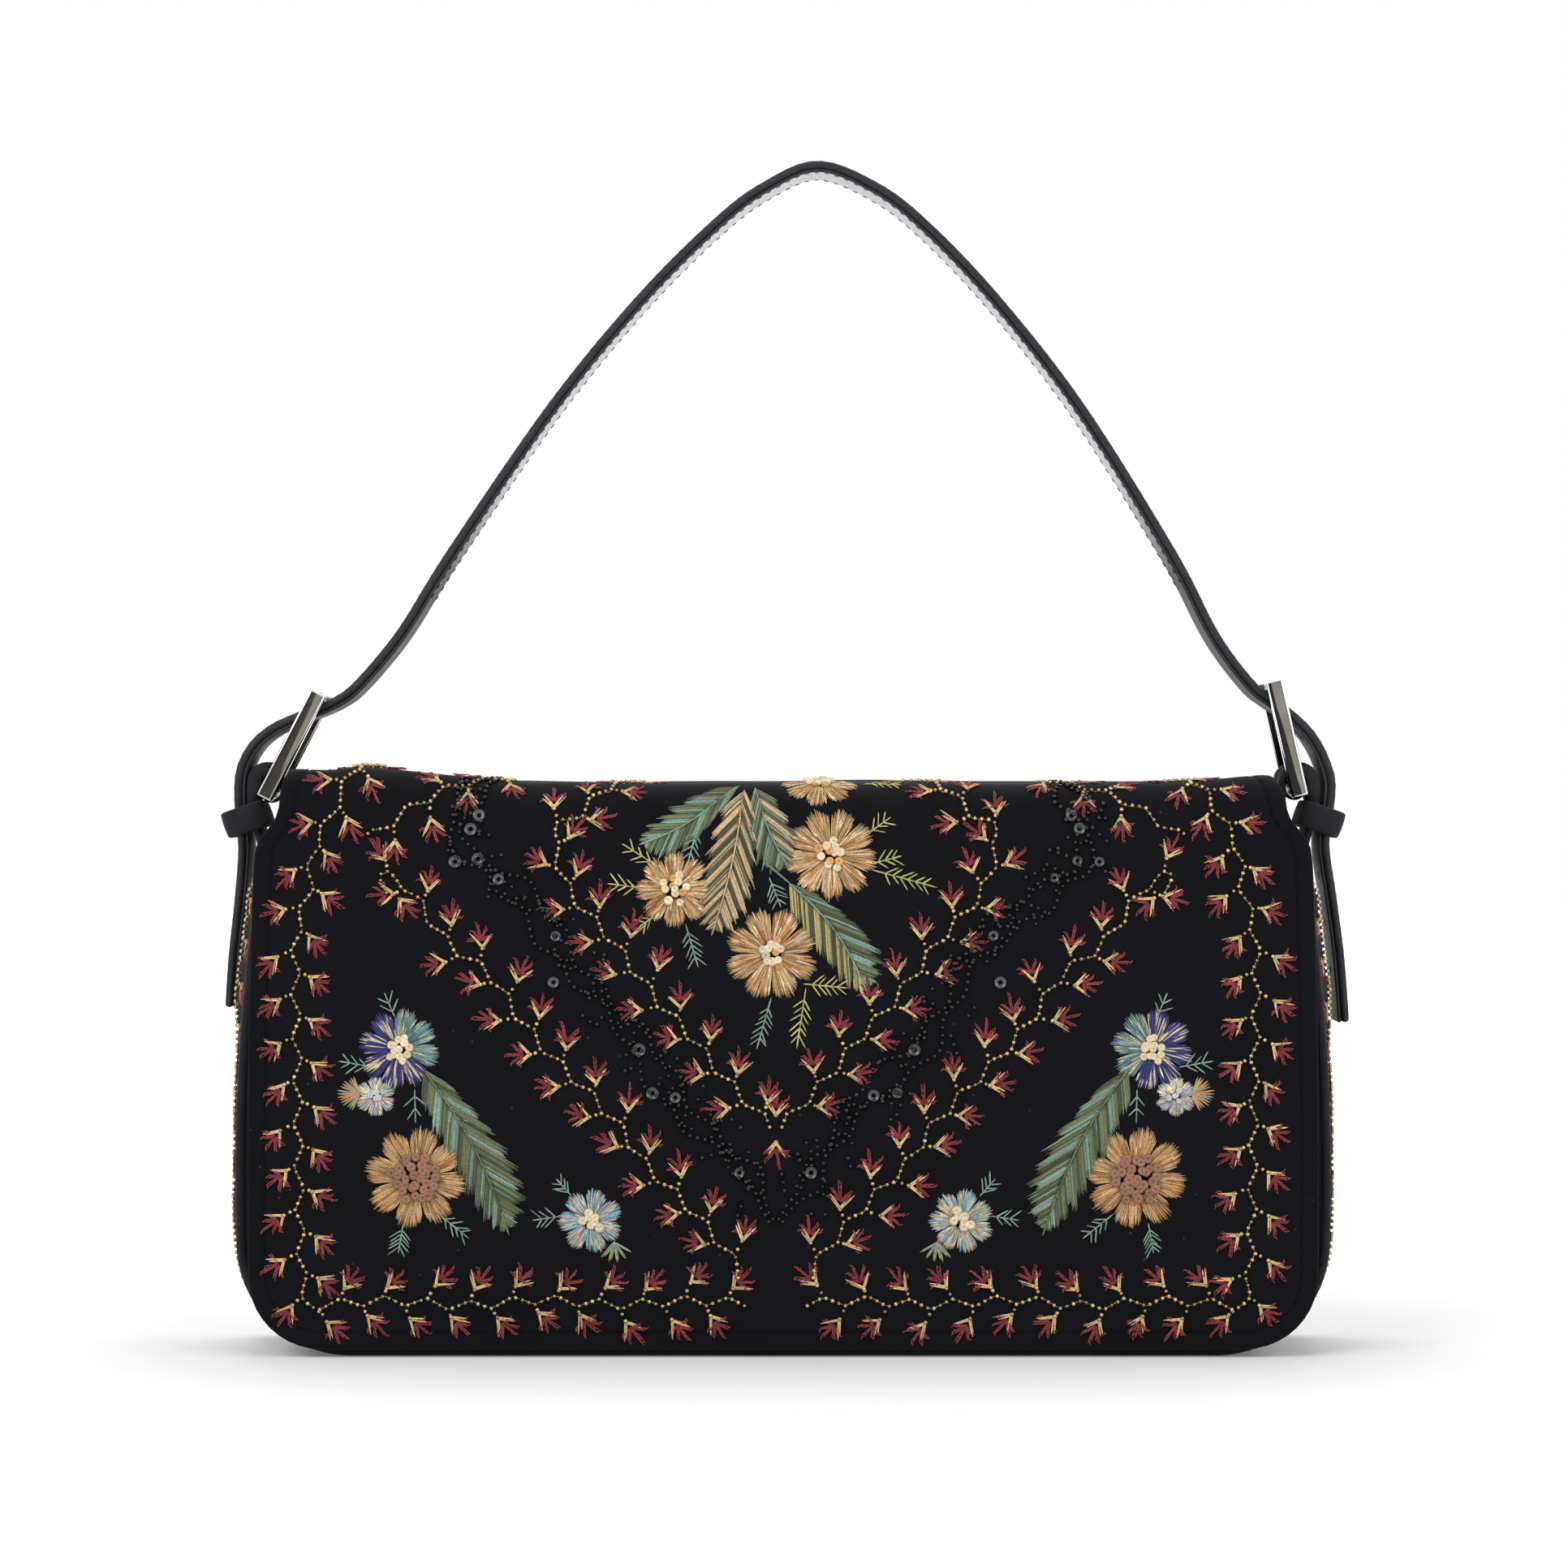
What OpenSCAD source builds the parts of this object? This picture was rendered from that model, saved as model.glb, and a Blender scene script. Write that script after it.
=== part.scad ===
/* [Body] */
// Widest width of the body
body_w = 270.6; // [240:1:290]
// Depth of the body at its fullest height
body_d = 58; // [50:1:66]
// Height of the front and back panels
panel_h = 133; // [129:1:136]
// Height at which the body is widest and fullest
swell_z = 45; // [35:1:60]
// Width lost at each side between the widest height and the gusset's top
width_taper = 5.8; // [4:0.5:8]
// Depth lost at each face between the fullest height and the panel's top
depth_taper = 4; // [2:0.5:6]
// Radius of the panels' lower corners
corner_r = 28; // [22:1:40]
// How far the gusset's top edge lies below the panels' top
gusset_dip = 11; // [10.5:0.5:13]
// Thickness of the stiffened suede of panels and gusset
panel_t = 1.6; // [1.2:0.1:2]
// Width and height of the piping's section
piping_d = 2.4; // [2:0.1:3]
// Thickness of the lining cloth
lining_t = 0.7; // [0.5:0.1:1]
// Seam clearance between pieces sewn together
seam = 0.1; // [0.05:0.05:0.2]
// Height of the facings inside the mouth
facing_h = 22; // [15:1:26]
// Thickness of the facings
facing_t = 0.8; // [0.6:0.1:1.2]
// Distance from the base board's ends to the rounded corners
board_end = 7; // [2:1:20]
// Thickness of the base board
board_t = 2; // [1.5:0.5:3]

/* [Flap] */
// Height of the flap's flat top above the panels
flap_rise = 9; // [8.5:0.5:11]
// How far the hanging flap's edge lies inside the body's widest line
flap_in = 3.5; // [0:0.5:10]
// Width lost at each side between the widest height and the shoulder
flap_taper = 1.2; // [0.5:0.1:3]
// Height of the flap's lower edge
flap_low = 2; // [1:0.5:6]
// Radius of the flap's lower corners
flap_corner_r = 18; // [12:1:26]
// Gap between each tab and the side of the flap's neck over the front roll
neck_gap = 0.5; // [0.3:0.1:4]
// Gap between each tab and the side of the flap's fixed rear part
rear_gap = 4.2; // [3.5:0.1:8]
// Thickness of the flap's embroidered skin
flap_t = 1.6; // [1.2:0.1:2]
// Gap between the front panel and the flap's lining
flap_gap = 2.2; // [2.1:0.1:3]
// Outer radius of the roll over the front edge
roll_r = 12; // [9:0.5:14]
// Outer radius of the roll over the back edge
rear_r = 8; // [6:0.5:10]
// Front to back place of the flap's fold line
fold_y = -1; // [-3:0.5:-0.5]
// Height of the lap sewn to the back panel
lap_h = 10; // [6:1:14]

/* [Snap] */
// How far the magnetic snap lies below the fullest height
snap_below = 1; // [0:0.5:4]
// Radius of both halves of the snap
snap_r = 8; // [6:0.5:9]
// Thickness of the socket's disc
socket_t = 1.2; // [1:0.1:1.4]
// Thickness of the stud's disc
stud_t = 0.7; // [0.5:0.05:0.8]

/* [Zip pocket] */
// Distance from the facing's lower edge down to the zip
zip_below = 11; // [8:1:25]
// Length of the tooth rows
zip_l = 150; // [120:1:170]
// Pitch of the teeth
tooth_p = 2.5; // [2:0.1:3]
// Depth of the pocket below the zip
pocket_h = 55; // [35:1:65]

/* [Strap] */
// Width of the shoulder strap
strap_w = 20.4; // [16:0.2:22]
// Thickness of the strap's leather
strap_t = 2.1; // [1.8:0.1:2.4]
// Thickness of the strap's pale lining
strap_lining_t = 0.8; // [0.6:0.1:1]
// Front to back place of the strap's middle
strap_y = 14.5; // [14.5:0.1:15.5]
// Width of the tabs
tab_w = 20; // [15:0.2:21]
// Thickness of the tabs' suede
tab_t = 1.8; // [1.4:0.1:2]
// Height of the axis on which tabs and strap swing above the gusset
swing_rise = 2; // [1.5:0.5:4]
// Diameter of the adjusting holes
hole_d = 2.4; // [2:0.1:3]
// Spacing of the adjusting holes
hole_p = 12; // [8:1:14]

/* [Buckles] */
// Thickness of a buckle across its plane
buckle_t = 4.2; // [3.4:0.1:4.4]
// Width of a side bar
side_bar_w = 2.6; // [2:0.1:3]
// Radius of the lower bar, which carries prong and tab
lower_bar_r = 2; // [1.6:0.1:2.2]
// Radius of the upper bar, under which the strap passes
upper_bar_r = 1.3; // [1:0.1:1.4]
// Width of a prong
prong_w = 2; // [1.6:0.1:2.2]
// Thickness of a prong
prong_t = 1.5; // [1.2:0.1:1.6]

/* [Hidden] */
$fn = 64;

velvet = [0.10, 0.10, 0.12];
suede = [0.16, 0.16, 0.18];
satin = [0.30, 0.29, 0.33];
leather = [0.22, 0.22, 0.24];
pale = [0.82, 0.81, 0.85];
steel = [0.55, 0.53, 0.51];
far = 400;

// Heights that follow from the driving dimensions
gusset_h = panel_h - gusset_dip;
swing_z = gusset_h + swing_rise;
flap_top_z = panel_h + flap_rise;
zip_z = panel_h - facing_h - zip_below;
snap_z = swell_z - snap_below;

// Layers behind the panels, counted inward from the body's outer face
snap_plate_t = 0.8;
front_lining_in = panel_t + snap_plate_t + 2 * seam;
front_facing_in = front_lining_in + lining_t + seam;
ply_t = 0.4;
pouch_space = 3 * ply_t;
back_lining_in = panel_t + pouch_space + 2 * seam;
back_facing_in = back_lining_in + lining_t + seam;
side_lining_in = panel_t + seam;
side_room_in = side_lining_in + lining_t;

// A tab's legs stand this far from the lining inside and from the gusset outside
tab_gap = 0.1;
tab_end_gap = 0.26;
loop_r = 4.25;
tab_disc_r = tab_w / 2;
tab_in_x = half_w(gusset_h) - side_room_in - tab_gap - tab_t;
loop_x = tab_in_x + tab_t / 2 + loop_r;
tab_end_x = half_w(swing_z - tab_disc_r) + tab_end_gap + tab_t / 2;

// Widths of the flap, which fits between the tabs and inside the body's outline
flap_w = body_w - 2 * flap_in;
flap_neck_w = 2 * (tab_in_x - neck_gap);
flap_rear_w = 2 * (tab_in_x - rear_gap);

// Back shoulders are cut away so that tabs and keepers can swing past them
shoulder_x = tab_in_x - 0.9;
shoulder_y = half_d(panel_h) - back_facing_in - facing_t - 0.2;
shoulder_z = swing_z - tab_disc_r - 0.6;

// Hidden layers of the flap and the line where it meets its front roll
flap_lining_in = flap_t + seam;
flap_total_t = flap_lining_in + lining_t;
roll_z = flap_top_z - roll_r;
fold_gap = 0.2;
flap_hem = 1.5;

// Half width and half depth of the body at a height
function half_w(z) = body_w / 2 - width_taper * pow((z - swell_z) / (gusset_h - swell_z), 2);
function half_d(z) = body_d / 2 - depth_taper * pow((z - swell_z) / (panel_h - swell_z), 2);
function flap_half(z) = flap_w / 2 - flap_taper * pow((z - swell_z) / (gusset_h - swell_z), 2);
function flap_y(z) = half_d(z) + flap_gap + flap_total_t;

// Small helpers on lists of points
function steps(a, b, n) = [for (i = [0:n]) a + (b - a) * i / n];
function backward(p) = [for (i = [len(p) - 1:-1:0]) p[i]];
function both_sides(p) = concat(p, [for (q = backward(p)) [-q[0], q[1]]]);
function arc(c, r, a0, a1, n) = [for (a = steps(a0, a1, n)) c + r * [cos(a), sin(a)]];

// A smooth curve through the points p, with n steps in each stretch
function pick(p, i) = p[max(0, min(len(p) - 1, i))];
function blend_pt(a, b, c, d, t) = 0.5 * (2 * b + (c - a) * t
    + (2 * a - 5 * b + 4 * c - d) * t * t + (3 * b - a - 3 * c + d) * t * t * t);
function smooth(p, n) = concat([for (i = [0:len(p) - 2], k = [0:n - 1])
    blend_pt(pick(p, i - 1), p[i], p[i + 1], pick(p, i + 2), k / n)], [p[len(p) - 1]]);

// A ribbon that follows the path p between the offsets a and b to its left
function normal_at(p, i) = let (d = pick(p, i + 1) - pick(p, i - 1)) [-d[1], d[0]] / norm(d);
function beside(p, o) = [for (i = [0:len(p) - 1]) p[i] + o * normal_at(p, i)];
function ribbon(p, a, b) = concat(beside(p, a), backward(beside(p, b)));

// Front view outline of the body, drawn in by t and cut level at height h
function outline(t, h) = both_sides(concat(
    arc([half_w(corner_r) - corner_r, corner_r], corner_r - t, -90, 0, 12),
    [for (z = steps(corner_r, h, 12)) if (z > corner_r) [half_w(z) - t, z]]));

// Side view strip of a panel between the depths a and b inside the outer face
function face_strip(a, b, z0, z1, side) = concat(
    [for (z = steps(z0, z1, 16)) [side * (half_d(z) - a), z]],
    [for (z = steps(z1, z0, 16)) [side * (half_d(z) - b), z]]);

// Front view outline of the hanging flap, drawn in by t, with the notch round each tab
function flap_outline(t) = both_sides(concat(
    arc([flap_half(flap_low + flap_corner_r) - flap_corner_r, flap_low + flap_corner_r],
        flap_corner_r - t, -90, 0, 10),
    [for (z = steps(flap_low + flap_corner_r, gusset_h, 10))
        if (z > flap_low + flap_corner_r) [flap_half(z) - t, z]],
    [[flap_half(gusset_h) - 0.5 - t, gusset_h + 3.5],
     [flap_neck_w / 2 + 3.6 - t, roll_z - 2.2],
     [flap_neck_w / 2 + 1 - t, roll_z - fold_gap / 2]]));

// Side view strip of each part of the flap between the depths a and b
function rear_path(a) = concat(
    [for (z = steps(panel_h - lap_h, flap_top_z - rear_r, 4)) [half_d(z) + seam + flap_t - a, z]],
    arc([half_d(flap_top_z - rear_r) + seam + flap_t - rear_r, flap_top_z - rear_r],
        rear_r - a, 0, 90, 8),
    [[fold_y + fold_gap / 2, flap_top_z - a]]);
function top_path(a) = concat(
    [[fold_y - fold_gap / 2, flap_top_z - a]],
    arc([roll_r - flap_y(roll_z), roll_z], roll_r - a, 90, 180, 12));
function front_path(a) = [for (z = steps(roll_z - fold_gap / 2, flap_low, 16)) [a - flap_y(z), z]];
function strip(p, q) = concat(p, backward(q));

// Extrudes a front view along Y, or a side view along X
module along_y(y0, y1) {
    translate([0, y1, 0]) rotate([90, 0, 0]) linear_extrude(y1 - y0) children();
}
module along_x(x0, x1) {
    translate([x0, 0, 0]) rotate([90, 0, 90]) linear_extrude(x1 - x0) children();
}

// Room that the swinging tabs and keepers need at the two back shoulders
module shoulder_room() {
    for (side = [-1, 1]) {
        translate([side > 0 ? shoulder_x : -shoulder_x - far, shoulder_y, shoulder_z])
            cube([far, far, far]);
    }
}

// A panel or lining between two depths, with its edge drawn in by t
module face_piece(t, a, b, z0, z1, side) {
    difference() {
        intersection() {
            along_y(-far, far) polygon(outline(t, z1));
            along_x(-far, far) polygon(face_strip(a, b, z0, z1, side));
        }
        shoulder_room();
    }
}

// A strip round the sides and bottom between two insets, held between the two faces
module side_piece(a, b, front_in, back_in, top) {
    difference() {
        intersection() {
            along_y(-far, far) polygon(outline(a, top));
            along_x(-far, far) polygon(concat(
                [for (z = steps(-1, top, 16)) [front_in - half_d(z), z]],
                [for (z = steps(top, -1, 16)) [half_d(z) - back_in, z]]));
        }
        along_y(-far, far) polygon(outline(b, top + 1));
        shoulder_room();
    }
}

module piping_ring(side) {
    difference() {
        intersection() {
            along_y(-far, far) polygon(outline(0, gusset_h));
            along_x(-far, far) polygon(face_strip(0, piping_d, -1, gusset_h, side));
        }
        along_y(-far, far) polygon(outline(piping_d, gusset_h + 1));
        shoulder_room();
    }
}

// The two slots in a panel that the snap's blades pass through
blade_x = 4;
blade_w = 1;
blade_h = 3;
module blades(y0, y1, gap) {
    for (side = [-1, 1]) {
        translate([side * blade_x - blade_w / 2 - gap, y0, snap_z - blade_h / 2 - gap])
            cube([blade_w + 2 * gap, y1 - y0, blade_h + 2 * gap]);
    }
}

module front_panel() {
    color(velvet) difference() {
        face_piece(piping_d + seam, 0, panel_t, 0, panel_h, -1);
        blades(-far, 0, seam);
    }
}

module back_panel() {
    color(velvet) face_piece(piping_d + seam, 0, panel_t, 0, panel_h, 1);
}

module gusset() {
    color(velvet) side_piece(0, panel_t, piping_d + seam, piping_d + seam, gusset_h);
}

module front_piping() {
    color(suede) piping_ring(-1);
}

module back_piping() {
    color(suede) piping_ring(1);
}

module front_lining() {
    color(satin) face_piece(piping_d + seam, front_lining_in, front_lining_in + lining_t,
                            piping_d + seam, panel_h - 0.5, -1);
}

// The back lining has a window for the zip
window_h = 8;
window_l = zip_l + 5;
module back_lining() {
    color(satin) difference() {
        face_piece(piping_d + seam, back_lining_in, back_lining_in + lining_t,
                   piping_d + seam, panel_h - 0.5, 1);
        translate([-window_l / 2, 0, zip_z - window_h / 2]) cube([window_l, far, window_h]);
    }
}

module gusset_lining() {
    color(satin) side_piece(side_lining_in, side_room_in, front_facing_in,
                            back_facing_in, gusset_h - 0.5);
}

// The board lies on the lined floor between the two linings
board_gap = 1;
board_l = 2 * (half_w(corner_r) - corner_r - board_end);
board_y = front_facing_in + board_gap - half_d(0);
module base_board() {
    color(suede) translate([-board_l / 2, board_y, side_room_in + seam])
        cube([board_l, half_d(0) - back_facing_in - board_gap - board_y, board_t]);
}

module front_facing() {
    color(suede) face_piece(side_room_in + seam, front_facing_in, front_facing_in + facing_t,
                            panel_h - facing_h, panel_h - 0.5, -1);
}

module back_facing() {
    color(suede) face_piece(side_room_in + seam, back_facing_in, back_facing_in + facing_t,
                            panel_h - facing_h, panel_h - 0.5, 1);
}

// The flat pouch has a rear ply up to the upper tape and a front ply up to the lower one
pouch_w = zip_l + 10;
pouch_low = zip_z - pocket_h;
module pocket_pouch() {
    rear_in = panel_t + seam;
    front_in = rear_in + 2 * ply_t;
    color(satin) along_x(-pouch_w / 2, pouch_w / 2) union() {
        polygon(face_strip(rear_in, rear_in + ply_t, pouch_low, zip_z + 6, 1));
        polygon(face_strip(rear_in, front_in + ply_t, pouch_low - ply_t, pouch_low, 1));
        polygon(face_strip(front_in, front_in + ply_t, pouch_low, zip_z - 4.5, 1));
    }
}

// Depths of the zip's layers inside the outer face of the back
tape_t = 0.6;
tape_in = back_facing_in;
tape_h = 5;
teeth_mid_in = tape_in + tape_t / 2;
tooth_t = 1.5;
row_gap = 0.9;
row_h = 1.4;
module zip_tapes() {
    low = row_gap / 2 + row_h + seam;
    color(suede) for (side = [-1, 1]) {
        z0 = side > 0 ? zip_z + low : zip_z - low - tape_h;
        along_x(-zip_l / 2 - 3, zip_l / 2 + 3)
            polygon(face_strip(tape_in, tape_in + tape_t, z0, z0 + tape_h, 1));
    }
}

// Each row is one comb: a spine with a tooth on every pitch, the rows half a pitch apart
module zip_teeth() {
    spine = 0.5;
    count = floor(zip_l / tooth_p) - 1;
    y_mid = half_d(zip_z) - teeth_mid_in;
    color(steel) for (side = [-1, 1]) {
        comb = concat([[-zip_l / 2, row_gap / 2 + row_h], [-zip_l / 2, row_gap / 2 + row_h - spine]],
            [for (i = [0:count - 1], k = [0:3])
                [-zip_l / 2 + (i + 0.5 + side * 0.2) * tooth_p + (k > 1 ? tooth_p / 2 : 0),
                 k == 1 || k == 2 ? row_gap / 2 : row_gap / 2 + row_h - spine]],
            [[zip_l / 2, row_gap / 2 + row_h - spine], [zip_l / 2, row_gap / 2 + row_h]]);
        along_y(y_mid - tooth_t / 2, y_mid + tooth_t / 2)
            translate([0, zip_z]) polygon([for (q = comb) [q[0], side * q[1]]]);
    }
}

module zip_stops() {
    y_mid = half_d(zip_z) - teeth_mid_in;
    stop_l = 2;
    color(steel) for (side = [-1, 1]) {
        translate([side * (zip_l / 2 + seam + stop_l / 2), y_mid, zip_z])
            cube([stop_l, tooth_t, 2 * row_h + row_gap], center = true);
    }
}

// The slider has two plates joined by a web that runs between the rows, and a bridge
slider_l = 9;
slider_h = 6.8;
slider_x = zip_l / 2 - slider_l / 2 - 1;
plate_gap = 0.2;
back_plate_t = 0.75;
front_plate_t = 0.85;
bridge_l = 6.8;
bridge_w = 2.4;
bridge_room = 1.5;
bridge_bar = 0.8;
front_plate_y = half_d(zip_z) - teeth_mid_in - tooth_t / 2 - plate_gap - front_plate_t;
module zip_slider() {
    y_mid = half_d(zip_z) - teeth_mid_in;
    web_d = tooth_t + 2 * plate_gap + 0.4;
    bridge_y = front_plate_y - bridge_room - bridge_bar;
    color(steel) translate([slider_x, 0, zip_z]) union() {
        translate([-slider_l / 2, front_plate_y, -slider_h / 2])
            cube([slider_l, front_plate_t, slider_h]);
        translate([-slider_l / 2, y_mid + tooth_t / 2 + plate_gap, -slider_h / 2])
            cube([slider_l, back_plate_t, slider_h]);
        translate([-2.5, y_mid - web_d / 2, -0.25]) cube([5, web_d, 0.5]);
        translate([-bridge_l / 2, bridge_y, -bridge_w / 2]) cube([bridge_l, bridge_bar, bridge_w]);
        for (side = [-1, 1]) {
            translate([side * (bridge_l - 1) / 2 - 0.5, bridge_y, -bridge_w / 2])
                cube([1, front_plate_y - bridge_y + 0.1, bridge_w]);
        }
    }
}

// The pull's end bar turns under the bridge, and its blade lies along the zip
pull_l = 22;
pull_w = 6.4;
pull_t = 1;
pull_bar_r = 0.5;
pull_y = front_plate_y - bridge_room / 2;
pull_arm = 1;
module zip_pull() {
    inner = bridge_l / 2 + 0.5;
    half_hole = bridge_w / 2 + 0.4;
    color(steel) translate([slider_x, pull_y, zip_z]) union() {
        cylinder(r = pull_bar_r, h = 2 * half_hole + pull_arm, center = true);
        for (side = [-1, 1]) {
            translate([-inner - 1, -pull_t / 2, side > 0 ? half_hole : -half_hole - pull_arm])
                cube([inner + 1, pull_t, pull_arm]);
            translate([0, 0, side * (half_hole + pull_arm / 2)])
                cylinder(r = pull_t / 2, h = pull_arm, center = true);
        }
        translate([-pull_l + pull_w / 2, -pull_t / 2, -pull_w / 2])
            cube([pull_l - inner - pull_w / 2, pull_t, pull_w]);
        translate([-pull_l + pull_w / 2, 0, 0]) rotate([90, 0, 0])
            cylinder(r = pull_w / 2, h = pull_t, center = true);
    }
}

// Both halves of the magnetic snap
socket_hole_r = 2.6;
module snap_socket() {
    face_y = -half_d(swell_z);
    color(steel) union() {
        difference() {
            along_y(face_y - socket_t, face_y) translate([0, snap_z]) circle(r = snap_r);
            along_y(face_y - far, face_y - 0.2) translate([0, snap_z]) circle(r = socket_hole_r);
        }
        blades(face_y - 0.1, face_y + panel_t + seam, 0);
    }
}

module socket_plate() {
    face_y = -half_d(swell_z) + panel_t + 1.5 * seam;
    color(steel) difference() {
        along_y(face_y, face_y + snap_plate_t - seam) translate([0, snap_z]) circle(r = snap_r);
        blades(-far, 0, seam);
    }
}

stud_y = half_d(swell_z) + flap_gap - seam;
nub_l = 0.9;
module snap_stud() {
    color(steel) union() {
        along_y(-stud_y, -stud_y + stud_t) translate([0, snap_z]) circle(r = snap_r);
        along_y(-stud_y + stud_t - 0.1, -stud_y + stud_t + nub_l)
            translate([0, snap_z]) circle(r = socket_hole_r - 0.4);
        blades(-stud_y - lining_t - 1.5 * seam, -stud_y + 0.1, 0);
    }
}

// The stud's washer lies in a shallow recess behind the flap's skin
washer_t = 0.5;
washer_y = stud_y + lining_t + seam;
module stud_plate() {
    color(steel) difference() {
        along_y(-washer_y - washer_t, -washer_y - 0.5 * seam)
            translate([0, snap_z]) circle(r = snap_r);
        blades(-far, 0, seam);
    }
}

// The flap's fixed rear part: a lap on the back panel, the rear roll and the top to the fold
module flap_rear() {
    color(velvet) along_x(-flap_rear_w / 2, flap_rear_w / 2)
        polygon(strip(rear_path(0), rear_path(flap_t)));
}

module flap_rear_lining() {
    half = flap_rear_w / 2 - flap_hem;
    color(satin) difference() {
        along_x(-half, half)
            polygon(strip(rear_path(flap_lining_in), rear_path(flap_total_t)));
        translate([-far / 2, 0, 0]) cube([far, far, panel_h + seam]);
    }
}

module flap_top() {
    color(velvet) along_x(-flap_neck_w / 2, flap_neck_w / 2)
        polygon(strip(top_path(0), top_path(flap_t)));
}

module flap_top_lining() {
    half = flap_neck_w / 2 - flap_hem;
    color(satin) along_x(-half, half)
        polygon(strip(top_path(flap_lining_in), top_path(flap_total_t)));
}

module flap_front() {
    color(velvet) difference() {
        intersection() {
            along_y(-far, 0) polygon(flap_outline(0));
            along_x(-far, far) polygon(strip(front_path(0), front_path(flap_t)));
        }
        along_y(-washer_y - washer_t - seam, 0) translate([0, snap_z]) circle(r = snap_r + 0.2);
    }
}

module flap_front_lining() {
    color(satin) difference() {
        intersection() {
            along_y(-far, 0) polygon(flap_outline(flap_hem));
            along_x(-far, far) polygon(strip(front_path(flap_lining_in), front_path(flap_total_t)));
        }
        blades(-far, 0, seam);
    }
}

// A tab is a strip that straddles the gusset and loops over the buckle's lower bar.
// Its ends are round about the swing axis.
loop_rise = 17.65;
loop_z = swing_z + loop_rise;
tab_low_z = swing_z - tab_disc_r - 1;
slot_half = prong_w / 2 + 0.9;
eye_r = lower_bar_r + 1.1;
tab_route = concat(
    smooth([[tab_end_x, tab_low_z], [tab_end_x, swing_z - 4], [tab_end_x, swing_z + 1],
            [(tab_end_x + loop_x + loop_r) / 2, swing_z + 6.6],
            [loop_x + loop_r, loop_z - loop_r - 0.4], [loop_x + loop_r, loop_z]], 4),
    arc([loop_x, loop_z], loop_r, 15, 180, 11),
    [[loop_x - loop_r, tab_low_z]]);
module tab_right() {
    difference() {
        intersection() {
            along_y(strap_y - tab_w / 2, strap_y + tab_w / 2)
                polygon(ribbon(tab_route, -tab_t / 2, tab_t / 2));
            union() {
                translate([0, strap_y - tab_w / 2, swing_z]) cube([far, tab_w, far]);
                along_x(0, far) translate([strap_y, swing_z]) circle(r = tab_disc_r);
            }
        }
        translate([0, strap_y - slot_half, left_bar_z - eye_r - 0.9])
            cube([far, 2 * slot_half, far]);
    }
}

module left_tab() {
    color(suede) mirror([1, 0, 0]) tab_right();
}

module right_tab() {
    color(suede) tab_right();
}

// Places of the lower bars in the tabs' loops, and how far each buckle leans inward
bar_x = loop_x - 0.45;
left_bar_z = loop_z - 2.15;
right_bar_z = loop_z - 1.45;
left_lean = 27.2;
right_lean = 12.8;

// Half the strap's whole thickness
strap_half = (strap_t + strap_lining_t) / 2;

// The strap crosses a buckle's plane here, and the upper bar lies just above it
cross_at = 21.6;
cross_angle = 41.5;
bar_gap = 0.35;
bar_from_end = 2.2;
end_beyond_bar = 1.5;
upper_bar_at = cross_at + (upper_bar_r + strap_half + bar_gap) / sin(cross_angle);
buckle_l = bar_from_end + upper_bar_at + end_beyond_bar;
window_w = strap_w + 1;
module at_left_bar() {
    mirror([1, 0, 0]) translate([bar_x, strap_y, left_bar_z]) rotate([0, -left_lean, 0]) children();
}
module at_right_bar() {
    translate([bar_x, strap_y, right_bar_z]) rotate([0, -right_lean, 0]) children();
}

// A buckle in its own frame: X outward across its plane, Z along the side bars
bevel = 0.5;
module buckle() {
    h = buckle_t / 2;
    w = side_bar_w;
    section = [[-h, bevel], [-h + bevel, 0], [h - bevel, 0], [h, bevel],
               [h, w - bevel], [h - bevel, w], [-h + bevel, w], [-h, w - bevel]];
    union() {
        for (side = [-1, 1]) {
            translate([0, side > 0 ? window_w / 2 : -window_w / 2 - w, -bar_from_end])
                linear_extrude(buckle_l) polygon(section);
        }
        rotate([90, 0, 0]) cylinder(r = lower_bar_r, h = window_w + 1, center = true);
        translate([0, 0, upper_bar_at]) rotate([90, 0, 0])
            cylinder(r = upper_bar_r, h = window_w + 1, center = true);
    }
}

module left_buckle() {
    color(steel) at_left_bar() buckle();
}

module right_buckle() {
    color(steel) at_right_bar() buckle();
}

// A prong has an eye on the lower bar and an arm that rests on the upper bar
eye_gap = 0.06;
module prong() {
    rest_x = upper_bar_r + 0.3 + prong_t / 2;
    arm = smooth([[1.0, 2.2], [1.5, 9], [rest_x - 0.2, 17], [rest_x, upper_bar_at - 2],
                  [rest_x + 0.15, upper_bar_at + 1.3]], 4);
    difference() {
        union() {
            rotate([90, 0, 0]) cylinder(r = eye_r, h = prong_w, center = true);
            along_y(-prong_w / 2, prong_w / 2) polygon(ribbon(arm, -prong_t / 2, prong_t / 2));
        }
        rotate([90, 0, 0]) cylinder(r = lower_bar_r + eye_gap, h = prong_w + 2, center = true);
    }
}

module left_prong() {
    color(steel) at_left_bar() prong();
}

module right_prong() {
    color(steel) at_right_bar() prong();
}

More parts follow.
